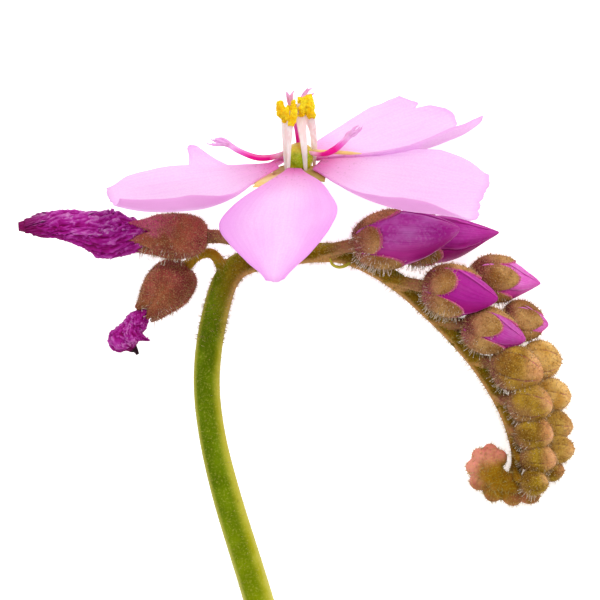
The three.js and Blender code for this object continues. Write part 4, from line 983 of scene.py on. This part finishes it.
def leafPoints(leaf, foot, along, across):
    turn, up = math.radians(leaf["azimuth"]), np.array([0.0, 1.0, 0.0])
    outwards = np.array([math.cos(turn), 0, -math.sin(turn)])
    sideways = np.array([-math.sin(turn), 0, -math.cos(turn)])
    footSlope, tipSlope = np.radians(leaf["slope"])
    reach = along * (1 + (valueAt(leaf["ends"], (1 - across) / 2) - 1) * along ** 3)
    for place, depth, width in leaf["notches"]:
        reach = reach - depth * hill(across - place, width) * along ** 8
    slope, meanSlope = (footSlope + (tipSlope - footSlope) * reach / part for part in (1, 2))
    lift = up * np.cos(slope)[..., None] - outwards * np.sin(slope)[..., None]
    side = np.where(across < 0, -1.0, 1.0)
    width = np.where(across < 0, valueAt(leaf["right"][0], along), valueAt(leaf["left"][0], along))
    curl, grown = np.radians(curlOf(leaf, along, across)), np.minimum(1, 1.6 * along)
    points = outwards * (foot + leaf["length"] * reach * np.cos(meanSlope))[..., None]
    points = points + up * (leaf["length"] * reach * np.sin(meanSlope))[..., None]
    step = (np.abs(across) * width / petalSheet["steps"])[..., None]
    for k in range(petalSheet["steps"]):
        place = np.abs(across) * (k + 0.5) / petalSheet["steps"]
        bend = grown * (math.radians(leaf["roll"]) * side + curl * place ** 3)
        points = points + (sideways * (side * np.cos(bend))[..., None] + lift * np.sin(bend)[..., None]) * step
    return points, lift


def petalShell(petal):
    seed, ragged, even = petal["seed"], petal["ragged"], np.linspace(-1, 1, petalSheet["columns"])
    a, c = np.meshgrid(1 - (1 - np.linspace(0, 1, petalSheet["rows"])) ** 1.12,
                       np.sin(even * np.pi / 2) * 0.35 + even * 0.65, indexing="ij")
    fringe = ridged(np.outer(c[0], (5, 0, 0)) + (0, 0, seed), 1.0, seed, 3)
    tip = a * (1 + (0.006 + 0.012 * ragged) * fringe * a ** 8)
    middle, lift = leafPoints(petal, flowerPlace["petalFoot"], tip, c)
    across = np.gradient(middle, axis=1)
    margin = ridged(np.outer(a[:, 0], (9, 0, 0)), 1.0, seed + 20)[:, None]
    middle += across / np.maximum(lengthOf(across), 1e-6) * (
        np.sign(c) * np.abs(c) ** 6 * margin * 0.05 * (0.3 + ragged))[..., None]
    wave = ridged(np.stack([a * 2.2, c * 1.1, a * 0], -1), 1.0, seed + 40) * 0.16 * a * (0.3 + 0.7 * np.abs(c))
    ribs = np.cos(c * 26) * 0.012 * np.sin(np.pi * a) - 0.05 * hill(c, 0.05) * (1 - a) ** 1.5
    middle += lift * (wave + ribs)[..., None]
    edge = unit(np.minimum(1 - np.abs(c), 1 - a) / 0.06)
    thickness = petalSheet["edge"] + (petalSheet["thickness"] - petalSheet["edge"]) * np.sqrt(edge)
    # fold marks the curled-over margin, where the underside shows; its duller pink is partly the underside's own colour
    # and partly painted shade.
    fold = unit((curlOf(petal, a, c) * np.abs(c) ** 3 * np.minimum(1, 1.6 * a) - 32) / 20)
    return onStalk(sheetShell(aboveTable(middle, thickness), thickness, uv=np.stack([c * 0.5 + 0.5, a], -1), out=a,
                              rim=1 - edge, fold=petal["band"] * fold))


def petalSilk(name, deepSide):
    sheen = {"Sheen Weight": 0.1, "Sheen Roughness": 0.4, "Sheen Tint": "#ffe6ff"}
    material, where = newMaterial(name, 0.5, 0.2, more=sheen), coordinates("UV")
    vein, streak = veinsOf(where, 19.0, 2.2)
    out, rim, fold = marksOf("out rim fold")
    cloud = noiseOf(where, 3.2, 3.0, 0.5)
    side = maths("ABSOLUTE", minus(addNode("ShaderNodeSeparateXYZ", {0: where}).outputs["X"], 0.5))
    shade = plus(times(side, deepSide), times(cloud, 0.7))
    freckle = ranged(noiseOf(coordinates(), 5200.0, 1.0), 0.6, 0.74)
    # The last layer paints the curled-over margin a duller pink, partly the underside's own colour and partly painted
    # shade.
    colour = layered(cloud, mixed(ranged(shade, 0.3, 1.3), "#fbe1fc", "#f5bdf5"),
                     (ranged(out, 0.36, 0.0), "#f8b4e8"), (ranged(out, 0.13, 0.0, 0.0, 0.9), "#f078cc"),
                     (times(vein, 0.06), "#c870c4"), (ranged(streak, 0.45, 0.75, 0.0, 0.12), "#e8a4ea"),
                     (ranged(rim, 0.2, 1.0, 0.0, 0.3), "#eca0e6"),
                     (ranged(noiseOf(coordinates(), 9500.0), 0.35, 0.7, 0.0, 0.22), "#efaeee"),
                     (times(freckle, ranged(out, 0.34, 0.05, 0.0, 0.4)), "#b07c98"),
                     (times(fold, 0.8), ("#eeace4", "#f6c2f0")))
    return coated(material, colour, plus(times(vein, -0.25), streak), 0.22, 0.05, 0.45)


plainSilk, frontSilk = petalSilk("petalSilk", 0.0), petalSilk("frontPetalSilk", 1.65)
for name, petal in petals.items():
    makePiece("petal" + name.title().replace("_", ""), petalShell({**plainLeaf, **petal}),
              frontSilk if name == "front" else plainSilk, "petal_" + name)
print("petals:", len(petals))

# The flower's centre
centreParts = {
    "cup": {"radius": 1.4, "top": -0.5, "depth": 1.5, "rows": 34, "turns": 60},
    "sepals": {"length": 3.1, "halfWidth": 0.6, "foot": 0.7, "level": -0.55, "thickness": 0.16, "rows": 30,
               "columns": 14, "curl": 12, "places": (  # turn, slope, shares of length and width, height over the level
                   (226, -1, 0.94, 0.9, 0.0), (304, -3, 0.68, 0.9, 0.3), (12, -7, 1.0, 0.3, 1.2), (84, -18, 1, 1, 0),
                   (158, -26, 1, 1, 0))},
    "ovary": {"radius": 0.8, "height": 1.62, "foot": -0.45, "aside": 0.14, "rows": 40, "turns": 72,
              "outline": [(0.3, 0), (0.62, 0.02), (0.95, 0.25), (1.04, 0.5), (0.9, 0.76), (0.55, 0.93), (0.1, 1)]},
    "stamens": (  # lobes of the anther: shift right, shift up, size
        {"foot": (-0.62, 0.6), "middle": (-0.66, 1.1, 0.4), "anther": (-0.68, 2.98, 0.0), "wide": 0.9,
         "lobes": ((-0.17, 0.12, 1.05), (0.08, -0.06, 0.8))},
        {"foot": (-0.5, 0.9), "middle": (-0.46, 1.2, 0.85), "anther": (-0.4, 3.0, 0.7), "wide": 0.7,
         "lobes": ((0.16, -0.08, 0.95), (-0.16, 0.1, 0.7))},
        {"foot": (0.5, 0.86), "middle": (0.38, 1.3, 0.7), "anther": (0.18, 3.26, 0.2), "wide": 1.1,
         "lobes": ((-0.36, 0.04, 0.85), (0.12, -0.02, 0.95))},
        {"foot": (0.98, -0.7), "middle": (0.98, 0.9, -0.4), "anther": (0.74, 3.34, 0.1), "wide": 0.9,
         "lobes": ((-0.02, 0.03, 1.15), (-0.32, 0.12, 0.85))},
        {"foot": (0.75, -0.95), "middle": (0.93, 1.4, -0.85), "anther": (0.5, 3.2, -0.36), "wide": 1.1,
         "lobes": ((0.02, 0.28, 0.9), (-0.25, 0.24, 0.75))},
    ),
    "filament": {"foot": 0.085, "top": 0.27, "thin": 0.08, "level": -0.45, "rows": 50, "sides": 20},
    "anther": {"half": 0.52, "lobe": 0.23, "sides": 44, "lean": 0.2},
    "ribbon": {"rows": 80, "sides": 20, "stop": 66, "fingers": 4, "fingerRows": 22, "overlap": 6},
    "styles": (  # two arms each: place, half width and half thickness
        (((-0.5, 0.7, 0.1, 0.12, 0.09), (-1.5, 0.25, -0.1, 0.15, 0.08), (-2.3, 0.3, 0.1, 0.15, 0.07),
          (-3.3, 0.72, 0.2, 0.13, 0.06), (-4.1, 1.22, 0.3, 0.13, 0.05), (-5.15, 1.38, 0.3, 0.1, 0.03)),
         ((-0.5, 0.7, 0.1, 0.12, 0.09), (-1.45, 0.22, -0.45, 0.12, 0.08), (-2.3, 0.1, -0.8, 0.12, 0.07),
          (-3.2, 0.35, -1.05, 0.12, 0.06), (-3.95, 0.75, -1.2, 0.12, 0.05), (-4.8, 0.98, -1.3, 0.09, 0.03))),
        (((0.5, 0.75, 0.4, 0.12, 0.09), (1.5, 0.6, 0.35, 0.13, 0.08), (2.1, 0.78, 0.25, 0.15, 0.08),
          (2.65, 1.22, 0.1, 0.13, 0.06), (3.1, 1.68, 0.0, 0.12, 0.05), (3.7, 2.22, 0.0, 0.1, 0.03)),
         ((0.5, 0.75, 0.4, 0.12, 0.09), (1.4, 0.55, 0.15, 0.12, 0.08), (2.0, 0.65, -0.4, 0.12, 0.07),
          (2.55, 0.9, -1.0, 0.12, 0.06), (2.95, 1.2, -1.4, 0.12, 0.05), (3.5, 1.56, -1.75, 0.09, 0.03))),
        (((0.1, 0.75, -0.1, 0.11, 0.09), (-0.05, 1.9, -0.4, 0.11, 0.08), (-0.2, 2.5, -0.45, 0.11, 0.07),
          (-0.34, 3.2, -0.45, 0.12, 0.06), (-0.4, 3.7, -0.45, 0.16, 0.05), (-0.5, 4.1, -0.45, 0.2, 0.03)),
         ((0.1, 0.75, -0.1, 0.11, 0.09), (0.08, 1.9, -0.5, 0.11, 0.08), (0.1, 2.5, -0.75, 0.11, 0.07),
          (0.2, 3.1, -1.0, 0.11, 0.06), (0.45, 3.7, -1.05, 0.15, 0.05), (0.8, 4.15, -1.0, 0.17, 0.03))),
    ),
}


def aboutAxis(radius, height, turns):
    return np.stack(np.broadcast_arrays(radius * np.cos(turns), height, radius * np.sin(turns)), -1)


def paleSepal():
    material = newMaterial("paleSepal", 0.5, 0.15)
    grain, blotch, _ = skinOf(8000.0, 900.0)
    olive, out = marksOf("olive out")
    colour = layered(blotch, mixed(blotch, "#f6da88", "#fbeab0"), (ranged(olive, 0.2, 0.9), ("#c0a658", "#d8c484")),
                     (ranged(out, 0.2, 0.0, 0.0, 0.6), "#c8a45c"))
    return coated(material, colour, grain, 0.4, 0.03, 0.3)


def flowerCalyx():
    cup, sep = centreParts["cup"], centreParts["sepals"]
    a, c = np.meshgrid(np.linspace(0, 1, sep["rows"]), np.linspace(-1, 1, sep["columns"]), indexing="ij")
    thickness = sep["thickness"] * (0.3 + 0.7 * np.sqrt(unit(np.minimum(1 - np.abs(c), 1 - a) / 0.25)))
    shells = []
    for azimuth, slope, longer, wider, rise in sep["places"]:
        half = [w * sep["halfWidth"] * wider for w in (0.5, 0.85, 1, 0.85, 0.3)], sep["curl"]
        leaf = {**plainLeaf, "azimuth": azimuth, "length": sep["length"] * longer, "slope": (slope, slope), "roll": 0,
                "ends": (0.9, 1, 0.9), "left": half, "right": half}
        middle, _ = leafPoints(leaf, sep["foot"], a, c)
        middle[..., 1] += sep["level"] + rise
        shells.append(sheetShell(middle, thickness, out=a, olive=0 * a + (0.9 if 270 < azimuth < 360 else 0.15)))
    wide, top, low = cup["radius"], cup["top"], -cup["depth"]
    outline = [(0.1, low + 0.05, 0), (0.36, low + 0.08, 0), (0.8, -1.15, 0), (wide * 0.96, -0.82, 0), (wide, -0.6, 0),
               (wide * 0.9, top, 0), (0.3, top - 0.03, 0)]
    radius, height, _ = smoothPath(outline, cup["rows"]).T[:, :, None]
    shells.append(tubeShell(aboutAxis(radius, height, roundTurns(cup["turns"])), out=0.1, olive=0.5))
    return onStalk(merged(shells))


def ovarySkin():
    material = newMaterial("ovarySkin", 0.3, 0.2, (0.2, 0.0004, (0.8, 1.0, 0.2)))
    grain, blotch, fleck = skinOf(7500.0, 1300.0)
    colour = layered(blotch, mixed(blotch, "#8a9e04", "#bcb814"),
                     (ranged(marksOf("high"), 0.62, 0.98, 0.0, 0.8), "#cfa648"), (times(fleck, 0.6), "#d3e25a"))
    return coated(material, colour, grain, 0.5, 0.05)


def ovaryShell():
    part, turns = centreParts["ovary"], roundTurns(centreParts["ovary"]["turns"])
    radius, height, _ = smoothPath([(*place, 0) for place in part["outline"]], part["rows"]).T[:, :, None]
    radius = radius * part["radius"] * (1 - 0.06 * hill(1 - np.abs(np.cos(1.5 * turns)), 0.12))
    rings = aboutAxis(radius, part["foot"] + part["height"] * height, turns) + (part["aside"], 0, 0)
    return onStalk(tubeShell(rings, high=height))


def styleSilk():
    material = newMaterial("styleSilk", 0.35, 0.18)
    out, rim = marksOf("out rim")
    streak = noiseOf(coordinates(), 1500.0)
    colour = layered(None, ramped(out, (0.0, "#f0b9a4"), (0.12, "#f8b8d8"), (0.24, "#ea0c90"), (0.45, "#f00c98"),
                                  (0.57, "#f268d0"), (0.7, "#fac8f8"), (1.0, "#f6c6f6")),
                     (ranged(streak, 0.4, 0.65, 0.0, 0.25), "#c8007c"), (ranged(rim, 0.3, 1.0, 0.0, 0.4), "#fba4dc"))
    return coated(material, colour, streak, 0.3, 0.03, 0.2)


def styleArm(knots, start, seed):  # a flat ribbon that splits into pale, torn fingers
    part = centreParts["ribbon"]
    last, stop = part["rows"] - 1, part["stop"]
    path = smoothPath(knots, part["rows"])
    up, front = framesAlong(path, frontWay)
    turns, s = roundTurns(part["sides"]), np.linspace(0, 1, part["rows"])[:stop, None]
    wide, thin = path[:stop, 3:4] * np.cos(turns), path[:stop, 4:5] * np.sin(turns)
    shells = [tubeShell(ringsAbout(path[:stop, :3], up[:stop], front[:stop], wide, thin), out=start + (1 - start) * s,
                        rim=np.cos(turns))]
    reach, turns = np.linspace(0, 1, part["fingerRows"]), turns[::2]
    row = stop - part["overlap"] + reach * (last - stop + part["overlap"])
    low = np.minimum(row.astype(int), last - 1)
    at = path[low] + (path[low + 1] - path[low]) * (row - low)[:, None]
    radius = (at[:, 3] * valueAt((0.5, 0.7, 0.62, 0.25), reach))[:, None]
    for k in range(part["fingers"]):
        sway = 0.16 * np.sin(2.2 * reach * (1 + 0.3 * k) + seed + k) * reach
        spread = (k - 1.5) / 1.5 * at[:, 3] * (0.65 + 0.6 * reach) + sway
        line = at[:, :3] + up[low] * spread[:, None] + front[low] * (0.05 * (k % 2))
        line = line[0] + (line - line[0]) * (1 - 0.16 * ((k + seed) % 3))
        rings = ringsAbout(line, up[low], front[low], radius * np.cos(turns), at[:, 4:5] * 0.8 * np.sin(turns))
        shells.append(tubeShell(rings, out=start + (1 - start) * (0.72 + 0.28 * reach[:, None]), rim=0.6))
    return merged(shells)


def filamentThread():
    material = newMaterial("filamentThread", 0.32, 0.25, (0.4, 0.0005, (1.0, 0.7, 0.7)))
    streak, out = noiseOf(stretched(coordinates(), (1, 0.12, 1)), 5200.0), marksOf("out")
    colour = layered(None, mixed(ranged(streak, 0.35, 0.65), "#fbe8e6", "#fffcfa"),
                     (ranged(out, 0.72, 1.0, 0.0, 0.5), "#fbe2b4"), (ranged(out, 0.16, 0.0, 0.0, 0.6), "#dcb98c"))
    return coated(material, colour, streak, 0.35, 0.03, 0.35)


def filamentShell(stamen):
    part, (x, y, z), (footX, footZ) = centreParts["filament"], stamen["anther"], stamen["foot"]
    foot, top = part["foot"], part["top"] * stamen["wide"]
    path = smoothPath([(footX, part["level"], footZ, foot), (*stamen["middle"], foot * 0.45 + top * 0.5),
                       (x, y - 0.2, z, top), (x, y + centreParts["anther"]["half"] * 0.6, z, top * 0.8)], part["rows"])
    side, front = framesAlong(path, frontWay)
    turns = roundTurns(part["sides"])
    wide = path[:, 3:4] * (1 + 0.06 * np.cos(3 * turns)) * np.cos(turns)
    rings = ringsAbout(path[:, :3], side, front, wide, part["thin"] * np.sin(turns))
    return onStalk(tubeShell(rings, out=np.linspace(0, 1, part["rows"])[:, None]))


def pollenSkin():
    material = newMaterial("pollenSkin", 0.7, 0.1, (0.3, 0.0003, (1.0, 0.7, 0.1)))
    grain, blotch, fleck = skinOf(14000.0, 2600.0)
    colour = layered(blotch, mixed(blotch, "#ffc800", "#ffe426"), (times(fleck, 0.5), "#ffec68"))
    return coated(material, colour, grain, 0.8, 0.05)


def antherShell(stamen, seed):  # two burst sacs, thick with pollen, on either side of the filament's end
    part, shells = centreParts["anther"], []
    turns, t = roundTurns(part["sides"]), np.pi * np.linspace(0.04, 0.96, part["sides"])[:, None]
    for n, (right, up, size) in enumerate(stamen["lobes"]):
        rings = aboutAxis(part["lobe"] * size * np.sin(t) ** 0.42, part["half"] * min(size, 1.05) * -np.cos(t), turns)
        lump = ridged(rings, 3.0, seed + 3 * n, 3)
        bend = np.array(Matrix.Rotation(part["lean"] if right > 0 else -part["lean"], 3, "Z"))
        rings = (rings * (1 + 0.4 * lump)[..., None]) @ bend + (right, up, 0.05) + stamen["anther"]
        shells.append(tubeShell(rings, lump=lump))
    return onStalk(merged(shells))


makePiece("flowerCalyx", flowerCalyx(), paleSepal(), "flower_calyx")
makePiece("flowerOvary", ovaryShell(), ovarySkin(), "flower_ovary")
styleMaterial, filamentMaterial, pollenMaterial = styleSilk(), filamentThread(), pollenSkin()
for n, arms in enumerate(centreParts["styles"], 1):
    shell = onStalk(merged([styleArm(arm, 0.0 if n < 3 else 0.3, n * 2 + k) for k, arm in enumerate(arms)]))
    makePiece(f"style{n}", shell, styleMaterial, f"style_{n}")
antherPieces = []
for n, stamen in enumerate(centreParts["stamens"], 1):
    makePiece(f"filament{n}", filamentShell(stamen), filamentMaterial, f"filament_{n}")
    antherPieces.append(makePiece(f"anther{n}", antherShell(stamen, n), pollenMaterial, f"anther_{n}"))
print("flower centre: ovary,", len(centreParts["styles"]), "styles,", len(centreParts["stamens"]), "stamens")

# Hairs and pollen grains. long and short hold the hairs on a square millimetre, their length and thickness in
# millimetres and how far they lean.
fuzz = {
    "stem": {"nodes": ["stalk"], "slot": "stem", "seed": 3,
             "long": (10.0, 0.36, 0.016, 0.35), "short": (40.0, 0.2, 0.0125, 0.45)},
    "openBud": {"nodes": [f"bud_{n:02d}_calyx" for n in range(1, 7)], "slot": "sepal", "seed": 5,
                "long": (24.0, 0.37, 0.018, 0.25), "short": (56.0, 0.19, 0.0115, 0.4)},
    "closedBud": {"nodes": [f"bud_{n:02d}_calyx" for n in range(7, 17)], "slot": "green_bud", "seed": 7,
                  "long": (26.0, 0.34, 0.018, 0.25), "short": (54.0, 0.18, 0.0115, 0.4)},
    "withered": {"nodes": ["withered_1_calyx", "withered_2_calyx"], "slot": "sepal", "seed": 9,
                 "long": (22.0, 0.38, 0.018, 0.25), "short": (74.0, 0.16, 0.011, 0.4)},
}
hairSources = {"stem": [stemPiece], "openBud": calyxPieces[:6], "closedBud": calyxPieces[6:16],
               "withered": calyxPieces[16:]}
pollen = {"density": 62.0, "size": 0.045, "seed": 4, "lean": 3.0}
firstInputs = [("Geometry", "Geometry", None), ("Density", "Float", squareMetre)]
lastInputs = [("Seed", "Int", 1), ("Material", "Material", None)]
hairSizes = [("Length", "Float", 0.0003), ("Thickness", "Float", 0.00002), ("Lean", "Float", 0.6)]
hairInputs = firstInputs + hairSizes + lastInputs
grainInputs = firstInputs + [("Size", "Float", 0.00004)] + lastInputs
bareGround = {"from": 0.0003, "over": 0.0002}  # no hairs this close to the table, in metres


def marked(geometry, name, value):
    return addNode("GeometryNodeStoreNamedAttribute", {"Geometry": geometry, "Name": name, "Value": value},
                   data_type="FLOAT", domain="POINT").outputs[0]


def scattered(start, shape, lean):  # the shape stands on the surface, thickest where "hairy" is 1
    seed = start["Seed"]
    hairy = addNode("GeometryNodeInputNamedAttribute", {"Name": "hairy"}, data_type="FLOAT").outputs["Attribute"]
    spots = addNode("GeometryNodeDistributePointsOnFaces",
                    {"Mesh": start["Geometry"], "Density": times(hairy, start["Density"]), "Seed": seed},
                    distribute_method="RANDOM").outputs
    furthest = addNode("ShaderNodeCombineXYZ", {"X": lean, "Y": lean, "Z": math.pi}).outputs[0]
    angles = addNode("FunctionNodeRandomValue", {"Min": scaledVector(furthest, -1), "Max": furthest, "Seed": seed},
                     data_type="FLOAT_VECTOR").outputs[0]
    turns = {"Rotation": spots["Rotation"], "Rotate By": addNode("FunctionNodeEulerToRotation", {0: angles}).outputs[0]}
    turned = addNode("FunctionNodeRotateRotation", turns, rotation_space="LOCAL")
    size = addNode("FunctionNodeRandomValue", {2: 0.55, 3: 1.25, "Seed": seed}, data_type="FLOAT").outputs[1]
    return addNode("GeometryNodeInstanceOnPoints", {
        "Points": spots["Points"], "Instance": shape, "Rotation": turned.outputs[0],
        "Scale": times(size, plus(times(hairy, 0.6), 0.4))}).outputs[0]


def finished(end, start, geometry):
    real = addNode("GeometryNodeRealizeInstances", {0: geometry}).outputs[0]
    feed(end[0], addNode("GeometryNodeSetMaterial", {"Geometry": real, "Material": start["Material"]}).outputs[0])


def growthTree(name, inputs, shapeOf, lean=None):
    tree, start, end = newTree(name, "GeometryNodeTree", inputs, [("Geometry", "Geometry")])
    finished(end, start, scattered(start, shapeOf(start), start["Lean"] if lean is None else lean))
    return tree


def longHair(start):  # a bent, three-sided hair with a sticky drop at its end
    length, thickness = start["Length"], start["Thickness"]
    tip = scaledVector((0.16, 0.0, 1.0), length)
    line = addNode("GeometryNodeCurveQuadraticBezier", {
        "Resolution": 3, "Start": (0, 0, 0), "Middle": scaledVector((0.0, 0.0, 0.6), length), "End": tip}).outputs[0]
    run = addNode("GeometryNodeSplineParameter").outputs["Factor"]
    ring = addNode("GeometryNodeCurvePrimitiveCircle", {"Resolution": 3, "Radius": thickness}).outputs[0]
    hair = addNode("GeometryNodeCurveToMesh", {
        "Curve": marked(line, "out", run), "Scale": minus(1.0, times(run, 0.6)), "Profile Curve": ring,
        "Fill Caps": True})
    drop = addNode("GeometryNodeMeshUVSphere", {"Segments": 4, "Rings": 3, "Radius": times(thickness, 1.5)})
    moved = addNode("GeometryNodeSetPosition", {"Geometry": marked(drop.outputs["Mesh"], "out", 1.0), "Offset": tip})
    both = addNode("GeometryNodeJoinGeometry")
    for part in (moved, hair):
        feed(both.inputs[0], part.outputs[0])
    return both.outputs[0]


def shortHair(start):  # a pointed, three-sided spike
    spike = addNode("GeometryNodeMeshCone", {
        "Vertices": 3, "Radius Top": 0.0, "Radius Bottom": times(start["Thickness"], 1.35), "Depth": start["Length"]},
        fill_type="NGON").outputs["Mesh"]
    height = addNode("ShaderNodeSeparateXYZ", {0: addNode("GeometryNodeInputPosition").outputs[0]}).outputs["Z"]
    return marked(spike, "out", maths("DIVIDE", height, start["Length"]))


def pollenGrain(start):
    grain = addNode("GeometryNodeMeshIcoSphere", {"Subdivisions": 1, "Radius": start["Size"]})
    return marked(grain.outputs["Mesh"], "lump", 0.8)


# Makes a piece of what the tree grows on copies of the source pieces, where their mark called where says
def growOn(sources, tree, name, where, nodes, slot, **values):
    points, faces, hairy, start = [], [], [], 0
    for source in sources:
        spots = placesOf(source.data)
        mark = np.ones(len(spots), np.float32)
        if where in source.data.attributes:
            source.data.attributes[where].data.foreach_get("value", mark)
        mark *= unit((spots[:, 2] - bareGround["from"]) / bareGround["over"])
        points.append(spots)
        hairy.append(mark)
        faces += [tuple(v + start for v in f.vertices) for f in source.data.polygons]
        start += len(spots)
    base = bpy.data.meshes.new(name + "Base")
    base.from_pydata(np.vstack(points).tolist(), [], faces)
    base.attributes.new("hairy", "FLOAT", "POINT").data.foreach_set("value", np.concatenate(hairy))
    holder = linked(name + "Base", base)
    grower = holder.modifiers.new("grow", "NODES")
    grower.node_group = tree
    for item in tree.interface.items_tree:
        if item.in_out == "INPUT" and item.name in values:
            grower[item.identifier] = values[item.name]
    grown = bpy.data.meshes.new_from_object(holder.evaluated_get(bpy.context.evaluated_depsgraph_get()))
    holder.modifiers.clear()
    bpy.data.objects.remove(holder)
    settle(linked(name, grown), nodes)
    print(name, len(grown.polygons), "faces")


def fuzzHair(name, dim, light, root):
    material = newMaterial(name, 0.3, 0.5)
    shade = ranged(noiseOf(coordinates(), 900.0), 0.35, 0.65)
    colour = layered(None, mixed(shade, dim, light), (ranged(marksOf("out"), 0.7, 0.0, 0.0, 0.8), root))
    return coated(material, colour, noiseOf(coordinates(), 26000.0, 1.0), 0.2, 0.004, 0.08)


hairTrees = {"long": growthTree("longHairs", hairInputs, longHair),
             "short": growthTree("shortHairs", hairInputs, shortHair)}
hairMaterials = {"stem": fuzzHair("stemHair", "#b49c50", "#e2d08c", "#7c6420"),
                 "long": fuzzHair("longHair", "#e6d2b6", "#fffaf0", "#a4785a"),
                 "short": fuzzHair("shortHair", "#b28c50", "#dab880", "#885c2c")}
for name, part in fuzz.items():
    for kind, where in (("long", "hairy"), ("short", "downy")):
        density, length, thickness, lean = part[kind]
        growOn(hairSources[name], hairTrees[kind], name + kind.title() + "Hairs", where, part["nodes"], part["slot"],
               Density=density * squareMetre, Length=length * millimetre, Thickness=thickness * millimetre,
               Lean=lean, Seed=part["seed"], Material=hairMaterials["stem" if name == "stem" else kind])
growOn(antherPieces, growthTree("pollenGrains", grainInputs, pollenGrain, pollen["lean"]), "pollenGrains", "",
       [f"anther_{n}" for n in range(1, 6)], "anther", Density=pollen["density"] * squareMetre,
       Size=pollen["size"] * millimetre, Seed=pollen["seed"], Material=pollenMaterial)
